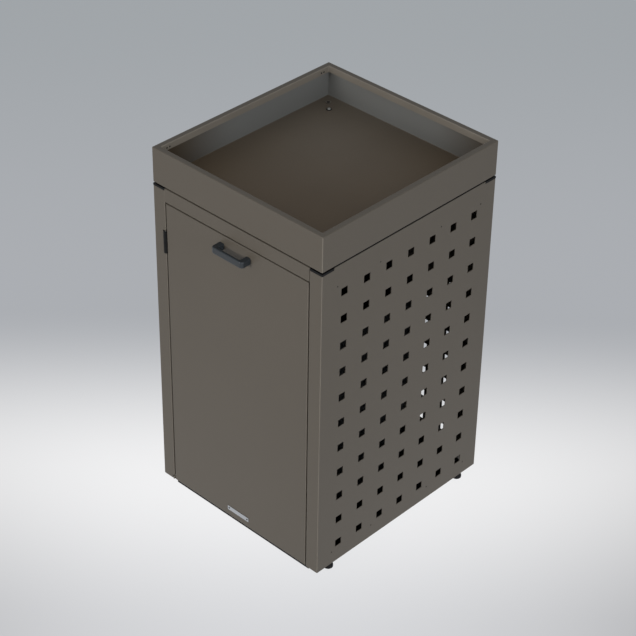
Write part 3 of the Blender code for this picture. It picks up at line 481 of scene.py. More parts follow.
def thick_line(points: Sequence[Vector], thickness: float) -> list[Vector]:
    """Gives a line its thickness on its left side.

    Args:
        points: The line.
        thickness: The sheet's thickness; a negative one goes to the right.

    Returns:
        The closed outline.
    """
    other = []
    for index, point in enumerate(points):
        before = points[max(index - 1, 0)]
        after = points[min(index + 1, len(points) - 1)]
        along = (after - before).normalized()
        across = Vector((-along.y, along.x))
        reach = thickness
        if 0 < index < len(points) - 1:
            turn = (point - before).angle(after - point)
            reach = thickness / math.cos(turn / 2)
        other.append(point + across * reach)
    return list(points) + other[::-1]


def join_loops(bm: bmesh.types.BMesh, first: Sequence[bmesh.types.BMVert],
               last: Sequence[bmesh.types.BMVert]) -> None:
    """Joins two closed loops of as many points with a band of faces.

    Args:
        bm: The bmesh that has them.
        first: The first loop.
        last: The last loop.
    """
    for index in range(len(first)):
        after = (index + 1) % len(first)
        bm.faces.new((first[index], first[after], last[after], last[index]))


def prism(name: str, outline: Sequence[Sequence[float]], start: float, end: float,
          axis: Axis) -> bpy.types.Object:
    """Draws a closed outline out along an axis.

    Args:
        name: The object's name.
        outline: Its points: (x, y) for Z, (y, z) for X and (z, x) for Y.
        start: Where it starts on the axis.
        end: Where it ends.
        axis: The axis.

    Returns:
        The solid.
    """
    bm = bmesh.new()
    loops = []
    for level in (start, end):
        loop = []
        for u, v in outline:
            place = (u, v, level)
            loop.append(bm.verts.new([place[(index - axis.value) % 3] for index in range(3)]))
        loops.append(loop)
        bm.faces.new(loop)
    join_loops(bm, *loops)
    bmesh.ops.recalc_face_normals(bm, faces=bm.faces)
    return new_object(name, bm)


def turned(name: str, profile: Sequence[Point], place: Sequence[float] = (0.0, 0.0, 0.0),
           axis: Axis = Axis.Z, steps: int = 48) -> bpy.types.Object:
    """Turns a profile about an axis.

    Args:
        name: The object's name.
        profile: Its (radius, height) points. A line that starts or ends off the axis is closed to its start.
        place: Where the axis's zero is.
        axis: The axis that it is turned about.
        steps: Straight steps in a full turn.

    Returns:
        The solid.
    """
    bm = bmesh.new()
    points = list(profile)
    if points[0][0] > 0 or points[-1][0] > 0:
        points.append(points[0])
    verts = [bm.verts.new((radius, 0.0, height)) for radius, height in points]
    edges = [bm.edges.new(pair) for pair in zip(verts, verts[1:])]
    bmesh.ops.spin(bm, geom=verts + edges, cent=(0, 0, 0), axis=(0, 0, 1), angle=math.tau, steps=steps)
    bmesh.ops.remove_doubles(bm, verts=bm.verts, dist=WELD)
    bmesh.ops.dissolve_degenerate(bm, edges=bm.edges, dist=WELD)
    bmesh.ops.recalc_face_normals(bm, faces=bm.faces)
    if axis is Axis.Y:
        bmesh.ops.rotate(bm, matrix=Matrix.Rotation(math.radians(-90), 3, 'X'), verts=bm.verts)
    if axis is Axis.X:
        bmesh.ops.rotate(bm, matrix=Matrix.Rotation(math.radians(90), 3, 'Y'), verts=bm.verts)
    bmesh.ops.translate(bm, vec=place, verts=bm.verts)
    return new_object(name, bm)


def chamfered(radius: float, low: float, high: float, chamfer: float, bore: float = 0.0) -> list[Point]:
    """Gives the profile of a round bar or ring with chamfered ends.

    Args:
        radius: Its outer radius.
        low: Its lower end.
        high: Its upper end.
        chamfer: The chamfers' width.
        bore: The radius of its bore, if it has one.

    Returns:
        The profile, for turning.
    """
    return [(bore, low), (radius - chamfer, low), (radius, low + chamfer), (radius, high - chamfer),
            (radius - chamfer, high), (bore, high)]


def domed(radius: float, low: float, high: float) -> list[Point]:
    """Gives the profile of a dome, from its edge to the middle of its top.

    Args:
        radius: Its radius at the edge.
        low: The height of its edge.
        high: The height of its top.

    Returns:
        The profile, for turning.
    """
    turns = [math.pi / 2 * step / DOME_STEPS for step in range(DOME_STEPS + 1)]
    return [(radius * math.cos(turn), low + (high - low) * math.sin(turn)) for turn in turns]


def hexagon_nut(box: tuple[Vector, Vector], bore: float) -> bpy.types.Object:
    """Makes a chamfered hexagon nut about the Z axis.

    Args:
        box: The lowest and highest corner of the nut's node.
        bore: The radius of its bore.

    Returns:
        The nut.
    """
    low, high = box
    radius = (high.x - low.x) / 2
    flat = radius * math.cos(math.pi / HEXAGON)
    drop = (radius - flat) / 2
    turns = [math.tau * step / HEXAGON for step in range(HEXAGON)]
    outline = [(radius * math.cos(turn), radius * math.sin(turn)) for turn in turns]
    nut = prism("nut", outline, low.z, high.z, Axis.Z)
    profile = [(bore, low.z), (flat, low.z), (radius + drop, low.z + 2 * drop),
               (radius + drop, high.z - 2 * drop), (flat, high.z), (bore, high.z)]
    combine(nut, [turned("nut_chamfer", profile)], 'INTERSECT')
    return nut


def combine(obj: bpy.types.Object, others: Iterable[bpy.types.Object], operation: str) -> None:
    """Cuts other objects out of one, joins them on or keeps what they share, and removes them.

    Args:
        obj: The object that changes.
        others: The objects that are used up.
        operation: DIFFERENCE, UNION or INTERSECT.
    """
    used = list(others)
    for other in used:
        modifier = obj.modifiers.new("combine", 'BOOLEAN')
        modifier.operation = operation
        modifier.solver = 'EXACT'
        modifier.object = other
    make_plain(obj)
    for other in used:
        bpy.data.objects.remove(other, do_unlink=True)


def add_rounding(obj: bpy.types.Object, width: float, steps: int = ROUNDING_STEPS) -> None:
    """Adds a modifier that rounds every sharp edge of an object.

    Args:
        obj: The object.
        width: The rounding's width.
        steps: Straight steps in it.
    """
    bevel = obj.modifiers.new("rounded", 'BEVEL')
    bevel.width = width
    bevel.segments = steps
    bevel.limit_method = 'ANGLE'
    bevel.angle_limit = SHARP_ANGLE


def add_thickness(obj: bpy.types.Object, thickness: float) -> None:
    """Adds a modifier that gives a surface the sheet's thickness behind its faces.

    Args:
        obj: The object.
        thickness: The sheet's thickness.
    """
    thick = obj.modifiers.new("sheet", 'SOLIDIFY')
    thick.thickness = thickness
    thick.offset = -1.0
    thick.use_even_offset = True


@dataclass
class GridPattern:
    """A Geometry Nodes tree that sets out copies of a unit in columns, rows and layers.

    The copies are either the result, or they are cut from the object that has the modifier.
    """

    start: Sequence[float]
    columns: int
    column_step: Sequence[float]
    rows: int = 1
    row_step: Sequence[float] = (0.0, 0.0, 0.0)
    layers: int = 1
    layer_step: Sequence[float] = (0.0, 0.0, 0.0)

    def tree(self, cuts: bool) -> tuple[bpy.types.NodeTree, dict[str, str]]:
        """Builds the tree.

        Args:
            cuts: True if the copies are cut from the object's own shape.

        Returns:
            The tree, and each input's socket identifier by its name.
        """
        tree = bpy.data.node_groups.new("grid_pattern", 'GeometryNodeTree')
        kinds = {"Shape": "Geometry", "Unit": "Object", "Finish": "Material", "Start": "Vector",
                 "Columns": "Int", "Column Step": "Vector", "Rows": "Int", "Row Step": "Vector",
                 "Layers": "Int", "Layer Step": "Vector"}
        names = {}
        for label, kind in kinds.items():
            socket = tree.interface.new_socket(name=label, in_out='INPUT', socket_type="NodeSocket" + kind)
            names[label] = socket.identifier
        tree.interface.new_socket(name="Shape", in_out='OUTPUT', socket_type="NodeSocketGeometry")
        given = add_node(tree, "NodeGroupInput").outputs

        places = add_node(tree, "GeometryNodeMeshLine", links={
            "Count": given["Columns"], "Start Location": given["Start"], "Offset": given["Column Step"]})
        for count, step in (("Rows", "Row Step"), ("Layers", "Layer Step")):
            line = add_node(tree, "GeometryNodeMeshLine",
                            links={"Count": given[count], "Offset": given[step]})
            copies = add_node(tree, "GeometryNodeInstanceOnPoints",
                              links={"Points": places.outputs[0], "Instance": line.outputs["Mesh"]})
            places = add_node(tree, "GeometryNodeRealizeInstances", links={0: copies.outputs["Instances"]})
        unit = add_node(tree, "GeometryNodeObjectInfo", links={"Object": given["Unit"]})
        copies = add_node(tree, "GeometryNodeInstanceOnPoints",
                          links={"Points": places.outputs[0], "Instance": unit.outputs["Geometry"]})
        shape = copies.outputs["Instances"]
        if cuts:
            solids = add_node(tree, "GeometryNodeRealizeInstances", links={0: shape})
            cut = add_node(tree, "GeometryNodeMeshBoolean", operation='DIFFERENCE', solver='EXACT',
                           links={0: given["Shape"], 1: solids.outputs[0]})
            shape = cut.outputs[0]
        solid = add_node(tree, "GeometryNodeRealizeInstances", links={0: shape})
        dressed = add_node(tree, "GeometryNodeSetMaterial",
                           links={"Geometry": solid.outputs[0], "Material": given["Finish"]})
        add_node(tree, "NodeGroupOutput", links={0: dressed.outputs[0]})
        return tree, names

    def apply(self, obj: bpy.types.Object, unit: bpy.types.Object, finish: bpy.types.Material,
              cuts: bool) -> None:
        """Runs the tree on an object and leaves a plain mesh.

        Args:
            obj: The object that gets the result.
            unit: The shape that is repeated; it is removed.
            finish: The result's material.
            cuts: True if the copies are cut from the object's own shape.
        """
        tree, names = self.tree(cuts)
        modifier = obj.modifiers.new("pattern", 'NODES')
        modifier.node_group = tree
        values = {"Unit": unit, "Finish": finish, "Columns": self.columns, "Rows": self.rows,
                  "Layers": self.layers}
        for label, value in values.items():
            modifier[names[label]] = value
        vectors = {"Start": self.start, "Column Step": self.column_step, "Row Step": self.row_step,
                   "Layer Step": self.layer_step}
        for label, value in vectors.items():
            modifier[names[label]] = tuple(float(level) for level in value)
        make_plain(obj)
        coat(obj, [finish])
        bpy.data.objects.remove(unit, do_unlink=True)
        bpy.data.node_groups.remove(tree)

    def cut(self, obj: bpy.types.Object, unit: bpy.types.Object, finish: bpy.types.Material) -> None:
        """Cuts the copies out of an object."""
        self.apply(obj, unit, finish, cuts=True)

    def copies(self, name: str, unit: bpy.types.Object, finish: bpy.types.Material) -> bpy.types.Object:
        """Makes one object of all the copies.

        Args:
            name: The object's name.
            unit: The shape that is repeated; it is removed.
            finish: The copies' material.

        Returns:
            The object.
        """
        obj = new_object(name, bmesh.new())
        self.apply(obj, unit, finish, cuts=False)
        return obj


class Bench:
    """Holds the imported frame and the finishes, and places finished pieces on their bodies."""

    def __init__(self, frame: dict[str, Any]) -> None:
        """Builds one material for each slot's finish.

        Args:
            frame: The loaded frame.
        """
        self.nodes: dict[str, bpy.types.Object] = frame["nodes"]
        self.materials = {slot: finish.material() for slot, finish in SLOT_FINISHES.items()}
        # A paler coat for painted highlights on bends, on the pan's lip and on the drain's top.
        self.rubbed = PAINTED_HIGHLIGHT_COAT.material()

    def place(self, obj: bpy.types.Object, body: Body, slot: Slot, *nodes: str) -> None:
        """Finishes a piece: smooth shading, its slot's material, its body and the nodes it stands for.

        Args:
            obj: The piece, in place.
            body: The body that it rides on.
            slot: Its material slot in the record.
            *nodes: The nodes that it replaces.
        """
        smooth(obj)
        if len(obj.data.materials) < 2:
            coat(obj, [self.materials[slot]])
            if slot is Slot.PAINT:
                # Faces in the middle of upright bends take the paler coat as a painted highlight.
                coat(obj, [self.materials[slot], self.rubbed], on_upright_bend)
        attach(obj, body.value)
        if nodes:
            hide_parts(*nodes)
        LOG.info("%s rides on %s: %d faces, for %s", obj.name, body.value, len(obj.data.polygons),
                 ", ".join(nodes) or "no node")

    def refine(self, node: str, body: Body, slot: Slot, width: float) -> None:
        """Replaces a node with a welded copy of itself whose sharp edges are rounded.

        Args:
            node: The node.
            body: The body that it rides on.
            slot: Its material slot.
            width: The rounding's width.
        """
        bm = bmesh.new()
        bm.from_mesh(self.nodes[node].data)
        bmesh.ops.remove_doubles(bm, verts=bm.verts, dist=WELD)
        bmesh.ops.dissolve_limit(bm, angle_limit=FLAT_ANGLE, verts=bm.verts, edges=bm.edges)
        obj = new_object(node + "_finished", bm)
        add_rounding(obj, width)
        make_plain(obj)
        self.place(obj, body, slot, node)

    def corner_grid(self, stem: str) -> GridPattern:
        """Sets out a pattern on the axes of a piece's four nodes.

        Args:
            stem: The nodes' common name.

        Returns:
            A grid of two by two places at height zero.
        """
        axes = [axis_of(node) for node in corner_nodes(stem)]
        span = axes[-1] - axes[0]
        return GridPattern(axes[0], 2, (span.x, 0, 0), 2, (0, span.y, 0))

    def place_four(self, stem: str, unit: bpy.types.Object, slot: Slot) -> None:
        """Sets out one of the cabinet's pieces at its four nodes.

        Args:
            stem: The nodes' common name.
            unit: The piece about the Z axis, at its own height; it is removed.
            slot: Its material slot.
        """
        four = self.corner_grid(stem).copies(stem + "s", unit, self.materials[slot])
        self.place(four, Body.CABINET, slot, *corner_nodes(stem))


@dataclass(frozen=True)
class Lamp:
    """A soft square light that faces the middle of the object.

    Its side is in metres and its power in watts. One that isn't mirrored leaves no highlight.
    """

    name: str
    place: tuple[float, float, float]
    side: float
    power: float
    colour: str = "#FFFFFF"
    aim: tuple[float, float, float] = (0.0, 0.0, 0.6)
    mirrored: bool = True

    def make(self) -> None:
        """Makes the light and turns it to what it faces."""
        data = bpy.data.lights.new(self.name, 'AREA')
        data.size = self.side
        data.energy = self.power
        data.color = linear(self.colour)[:3]
        lamp = link(bpy.data.objects.new(self.name, data))
        lamp.location = self.place
        lamp.visible_glossy = self.mirrored
        towards = Vector(self.aim) - Vector(self.place)
        lamp.rotation_euler = towards.to_track_quat('-Z', 'Y').to_euler()


@dataclass
class Studio:
    """The camera at the photograph's viewing angle, the soft lights, the floor and the pale world.

    Tones are the floor's colours by their distance in metres behind the object's middle. The floor is
    brightest on a line from front to back, and dims to each side of it, most of all in front.
    """

    camera_place: tuple[float, float, float] = (3.2271, -3.4223, 3.9130)
    azimuth: float = 43.3484
    elevation: float = 35.2064
    roll: float = 0.9568
    lens_mm: float = 112.2606
    sensor_mm: float = 36.0
    sky_edge: float = 0.42
    sky_top: float = 0.30
    backdrop: str = "#A6AAAE"
    floor_half: float = 12.0
    floor_roughness: float = 0.95
    bounce: str = "#9C9DA0"
    shown_share: float = 0.88
    tones: tuple[tuple[float, str], ...] = (
        (-0.8, "#DDDEE1"), (-0.01, "#FEFEFF"), (0.90, "#B1B4B9"), (3.4, "#A4A9AD"))
    bright_across: float = 0.09
    edge_level: float = 0.73
    fade_reach: tuple[float, float] = (0.9, -0.6)
    lamps: tuple[Lamp, ...] = (
        Lamp("key", (3.5, -3.7, 3.1), 2.0, 31.0),
        Lamp("front", (-0.6, -5.2, 2.2), 1.6, 117.0),
        Lamp("right", (5.0, -0.7, 2.2), 1.6, 92.0, "#F4F9FF"),
        Lamp("rear", (-4.6, 4.6, 0.7), 1.0, 170.0, mirrored=False),
    )

    def build(self) -> None:
        """Sets up the whole studio."""
        bpy.context.scene.view_settings.view_transform = 'Standard'
        self.make_camera()
        self.make_floor()
        self.make_world()
        for lamp in self.lamps:
            lamp.make()

    def make_camera(self) -> None:
        """Makes the camera and looks through it."""
        turn, rise, tilt = (math.radians(angle) for angle in (self.azimuth, self.elevation, self.roll))
        back = Vector((math.sin(turn) * math.cos(rise), -math.cos(turn) * math.cos(rise), math.sin(rise)))
        level = Vector((math.cos(turn), math.sin(turn), 0.0))
        upright = back.cross(level)
        right = math.cos(tilt) * level + math.sin(tilt) * upright
        up = math.cos(tilt) * upright - math.sin(tilt) * level
        data = bpy.data.cameras.new("camera")
        data.lens = self.lens_mm
        data.sensor_width = self.sensor_mm
        camera = link(bpy.data.objects.new("camera", data))
        columns = Matrix((right, up, back)).transposed().to_4x4()
        camera.matrix_world = Matrix.Translation(self.camera_place) @ columns
        bpy.context.scene.camera = camera

    def make_floor(self) -> None:
        """Makes the floor, which lights the object evenly and is shown pale near it and greyer behind."""
        bm = bmesh.new()
        bmesh.ops.create_grid(bm, x_segments=1, y_segments=1, size=self.floor_half)
        floor = new_object("studio_floor", bm)
        material = bpy.data.materials.new("matt_studio_floor")
        material.use_nodes = True
        tree = material.node_tree
        shader = tree.nodes["Principled BSDF"]
        shader.inputs["Base Color"].default_value = linear(self.bounce)
        shader.inputs["Roughness"].default_value = self.floor_roughness
        shader.inputs["Specular IOR Level"].default_value = 0.0
        place = add_node(tree, "ShaderNodeTexCoord").outputs["Object"]
        facing = add_node(tree, "ShaderNodeMapping",
                          {"Rotation": (0.0, 0.0, math.radians(-90.0 - self.azimuth))}, {"Vector": place})
        parts = add_node(tree, "ShaderNodeSeparateXYZ", links={0: facing.outputs["Vector"]}).outputs
        shown = add_node(tree, "ShaderNodeEmission", links={
            "Color": self.floor_tone(tree, parts["X"]),
            "Strength": self.floor_level(tree, parts["X"], parts["Y"])})
        share = add_node(tree, "ShaderNodeMath", {1: self.shown_share}, {0: self.seen(tree)},
                         operation='MULTIPLY')
        mixed = add_node(tree, "ShaderNodeMixShader",
                         links={0: share.outputs[0], 1: shader.outputs[0], 2: shown.outputs[0]})
        tree.links.new(mixed.outputs[0], tree.nodes["Material Output"].inputs["Surface"])
        floor.data.materials.append(material)

    def floor_tone(self, tree: bpy.types.NodeTree, behind: bpy.types.NodeSocket) -> bpy.types.NodeSocket:
        """Gives the floor's colour.

        Args:
            tree: The tree that gets the nodes.
            behind: The distance behind the object's middle.

        Returns:
            The socket with the colour.
        """
        low, high = self.tones[0][0], self.tones[-1][0]
        share = add_node(tree, "ShaderNodeMapRange", {"From Min": low, "From Max": high}, {"Value": behind})
        ramp = add_node(tree, "ShaderNodeValToRGB", links={"Fac": share.outputs["Result"]})
        ramp.color_ramp.interpolation = 'EASE'
        for _ in self.tones[2:]:
            ramp.color_ramp.elements.new(0.5)
        for element, (distance, colour) in zip(ramp.color_ramp.elements, self.tones):
            element.position = (distance - low) / (high - low)
            element.color = linear(colour)
        return ramp.outputs["Color"]

    def floor_level(self, tree: bpy.types.NodeTree, behind: bpy.types.NodeSocket,
                    across: bpy.types.NodeSocket) -> bpy.types.NodeSocket:
        """Gives the floor's brightness, which falls with the square of the distance from the bright line.

        Args:
            tree: The tree that gets the nodes.
            behind: The distance behind the object's middle.
            across: The distance to the side of it.

        Returns:
            The socket with the brightness.
        """
        off_line = add_node(tree, "ShaderNodeMath", {1: self.bright_across}, {0: across},
                            operation='SUBTRACT').outputs[0]
        square = add_node(tree, "ShaderNodeMath", links={0: off_line, 1: off_line}, operation='MULTIPLY')
        nearness = add_node(tree, "ShaderNodeMapRange",
                            {"From Min": self.fade_reach[0], "From Max": self.fade_reach[1]},
                            {"Value": behind})
        faded = add_node(tree, "ShaderNodeMath", operation='MULTIPLY',
                         links={0: square.outputs[0], 1: nearness.outputs["Result"]})
        level = add_node(tree, "ShaderNodeMapRange", {"To Min": 1.0, "To Max": self.edge_level},
                         {"Value": faded.outputs[0]})
        return level.outputs["Result"]

    def seen(self, tree: bpy.types.NodeTree) -> bpy.types.NodeSocket:
        """Gives 1 for the rays that show the surroundings, and 0 for those that light the object.

        Args:
            tree: The tree that gets the nodes.

        Returns:
            The socket with the result.
        """
        rays = add_node(tree, "ShaderNodeLightPath").outputs
        result = rays["Is Camera Ray"]
        for kind in ("Is Glossy Ray", "Is Transmission Ray"):
            either = add_node(tree, "ShaderNodeMath", links={0: result, 1: rays[kind]}, operation='MAXIMUM')
            result = either.outputs[0]
        return result

    def make_world(self) -> None:
        """Makes a sky that is dimmer overhead, and that camera and mirror-like rays see as a backdrop."""
        world = bpy.data.worlds.new("studio_world")
        bpy.context.scene.world = world
        world.use_nodes = True
        tree = world.node_tree
        tree.nodes.clear()
        towards = add_node(tree, "ShaderNodeTexCoord").outputs["Generated"]
        height = add_node(tree, "ShaderNodeSeparateXYZ", links={0: towards})
        level = add_node(tree, "ShaderNodeMapRange", {"To Min": self.sky_edge, "To Max": self.sky_top},
                         {"Value": height.outputs["Z"]})
        light = add_node(tree, "ShaderNodeBackground", {"Color": (1.0, 1.0, 1.0, 1.0)},
                         {"Strength": level.outputs["Result"]})
        shown = add_node(tree, "ShaderNodeBackground", {"Color": linear(self.backdrop), "Strength": 1.0})
        mixed = add_node(tree, "ShaderNodeMixShader",
                         links={0: self.seen(tree), 1: light.outputs[0], 2: shown.outputs[0]})
        add_node(tree, "ShaderNodeOutputWorld", links={"Surface": mixed.outputs[0]})


@dataclass(frozen=True)
class Rivet:
    """A small domed rivet along the X axis, which sits in a hole of its own."""

    radius: float
    hole: float
    height: float = 0.6 * MM
    sunk: float = 1.0 * MM
    steps: int = 20

    def shape(self) -> bpy.types.Object:
        """Turns the rivet, with its head towards +x and the foot of its dome at zero."""
        profile = [(0.0, -self.sunk), (self.radius, -self.sunk), *domed(self.radius, 0.0, self.height)]
        return turned("rivet", profile, axis=Axis.X, steps=self.steps)

    def cutter(self) -> bpy.types.Object:
        """Turns the bar that cuts the rivet's hole."""
        profile = chamfered(self.hole, -CUT, CUT, self.hole / 4)
        return turned("rivet_cut", profile, axis=Axis.X, steps=self.steps)


@dataclass
class SubAssembly:
    """What a sub-assembly of sheet metal has: the bench, and the sizes of its folds and eased edges."""

    bench: Bench
    sheet: float = 2.0 * MM
    bend: float = 3.0 * MM
    bend_steps: int = 8
    edge: float = 0.4 * MM

    def folded(self, name: str, corners: Sequence[Point], ends: Point, axis: Axis,
               turn: int = 1) -> bpy.types.Object:
        """Folds a sheet along a line and draws it out.

        Args:
            name: The object's name.
            corners: The corners of the sheet's outer line.
            ends: Where it starts and ends on the axis.
            axis: The axis that its bends run along.
            turn: 1 if the sheet's thickness is on the line's left, and -1 if on its right.

        Returns:
            The folded sheet.
        """
        line = bent_line(corners, self.bend, self.bend_steps)
        return prism(name, thick_line(line, turn * self.sheet), *ends, axis)


@dataclass
class Housing(SubAssembly):
    """The folded sides, back and front rail, with their perforations, rivets and corner caps."""

    post_return: float = 28.0 * MM
    post_width: float = 45.5 * MM
    cap_notch: float = 7.0 * MM
    cap_edge: float = 0.6 * MM
    hole: float = 24.5 * MM
    rows: int = 11
    row_pitch: float = 87.65 * MM
    lowest_row: float = 66.6 * MM
    back_lowest_row: float = 71.6 * MM
    side_columns: int = 7
    side_pitch: float = 87.8 * MM
    back_columns: int = 5
    back_pitch: float = 97.0 * MM
    rivet: Rivet = Rivet(2.1 * MM, 2.3 * MM)
    rivet_inner: float = 123.0 * MM
    rivet_outer: float = 290.0 * MM
    rivet_levels: tuple[float, float] = (65.0 * MM, 991.5 * MM)

    def build(self) -> None:
        """Builds and dresses the housing's pieces."""
        for side in Side:
            self.side_panel(side)
            self.rivets(side)
        self.back_panel()
        self.front_rail()
        for node in corner_nodes("corner_cap"):
            self.bench.refine(node, Body.CABINET, Slot.PLASTIC, self.cap_edge)

    def side_panel(self, side: Side) -> None:
        """Folds one side with its posts, and cuts its perforations, cap notches and hinge notches.

        Args:
            side: The side.
        """
        node = f"{side.label}_side_panel"
        low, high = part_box(node)
        outer, inner = (low.x, high.x) if side is Side.LEFT else (high.x, low.x)
        corners = [(inner, high.y - self.post_return), (inner, high.y), (outer, high.y), (outer, low.y),
                   (inner, low.y), (inner, low.y + self.post_return)]
        panel = self.folded(node + "_sheet", corners, (low.z, high.z), Axis.Z, -side.value)
        notches = []
        for edge, inward in ((low.y, 1), (high.y, -1)):
            across = sorted((inner - side.value * CUT, outer + side.value * CUT))
            along = sorted((edge - inward * CUT, edge + inward * self.post_width))
            notches.append(block("notch", (across[0], along[0], high.z - self.cap_notch),
                                 (across[1], along[1], high.z + CUT)))
        if side is Side.LEFT:
            notches += [Hinge(self.bench).notch(pin) for pin in ("hinge_pin", "pivot_pin")]
        combine(panel, notches, 'DIFFERENCE')
        first = (low.y + high.y) / 2 - self.side_pitch * (self.side_columns - 1) / 2
        self.perforate(panel, (outer, first, low.z + self.lowest_row), self.side_columns,
                       (0, self.side_pitch, 0))
        self.rivet_grid(side, 0.0).cut(panel, self.rivet.cutter(), self.bench.materials[Slot.PAINT])
        self.bench.place(panel, Body.CABINET, Slot.PAINT, node)

    def back_panel(self) -> None:
        """Folds the back between the rear posts, joins the flange at its foot on and cuts its holes."""
        low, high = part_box("back_panel")
        corners = [(high.x, low.y), (high.x, high.y), (low.x, high.y), (low.x, low.y)]
        panel = self.folded("back_panel_sheet", corners, (low.z, high.z), Axis.Z)
        reach = high.x - self.sheet - self.bend
        flange = block("back_flange", (-reach, low.y + FIT, low.z + FIT),
                       (reach, high.y - self.sheet / 2, low.z + FIT + self.sheet))
        combine(panel, [flange], 'UNION')
        first = -self.back_pitch * (self.back_columns - 1) / 2
        self.perforate(panel, (first, high.y, low.z + self.back_lowest_row), self.back_columns,
                       (self.back_pitch, 0, 0))
        self.bench.place(panel, Body.CABINET, Slot.PAINT, "back_panel")

    def perforate(self, panel: bpy.types.Object, start: Sequence[float], columns: int,
                  step: Sequence[float]) -> None:
        """Cuts the square holes of a panel.

        Args:
            panel: The panel.
            start: The middle of the lowest hole in the first column.
            columns: How many columns it has.
            step: The way from one column to the next.
        """
        half = self.hole / 2
        reach = Vector((half if step[0] else CUT, half if step[1] else CUT, half))
        grid = GridPattern(start, columns, step, self.rows, (0, 0, self.row_pitch))
        grid.cut(panel, block("square_hole", -reach, reach), self.bench.materials[Slot.PAINT])

    def front_rail(self) -> None:
        """Folds the channel over the door."""
        low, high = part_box("front_top_rail")
        corners = [(high.y, high.z), (low.y, high.z), (low.y, low.z), (high.y, low.z)]
        rail = self.folded("front_top_rail_sheet", corners, (low.x, high.x), Axis.X)
        self.bench.place(rail, Body.CABINET, Slot.PAINT, "front_top_rail")

    def rivet_grid(self, side: Side, inset: float) -> GridPattern:
        """Sets out the rivets of a side.

        Args:
            side: The side.
            inset: How far inside the side's face they are.

        Returns:
            A grid of two pairs on two levels.
        """
        low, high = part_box(f"{side.label}_side_panel")
        face = high.x if side is Side.RIGHT else low.x
        middle = (low.y + high.y) / 2
        return GridPattern((face - side.value * inset, middle - self.rivet_outer, self.rivet_levels[0]),
                           2, (0, self.rivet_outer + self.rivet_inner, 0),
                           2, (0, self.rivet_outer - self.rivet_inner, 0),
                           2, (0, 0, self.rivet_levels[1] - self.rivet_levels[0]))

    def rivets(self, side: Side) -> None:
        """Sets the small dark rivets that hold the bearer and the foot rail to a side.

        Args:
            side: The side.
        """
        unit = self.rivet.shape()
        if side is Side.LEFT:
            unit.data.transform(Matrix.Rotation(math.pi, 4, 'Z'))
        rivets = self.rivet_grid(side, self.rivet.height).copies(
            f"side_rivets_{side.label}", unit, self.bench.materials[Slot.BLACK_STEEL])
        self.bench.place(rivets, Body.CABINET, Slot.BLACK_STEEL)


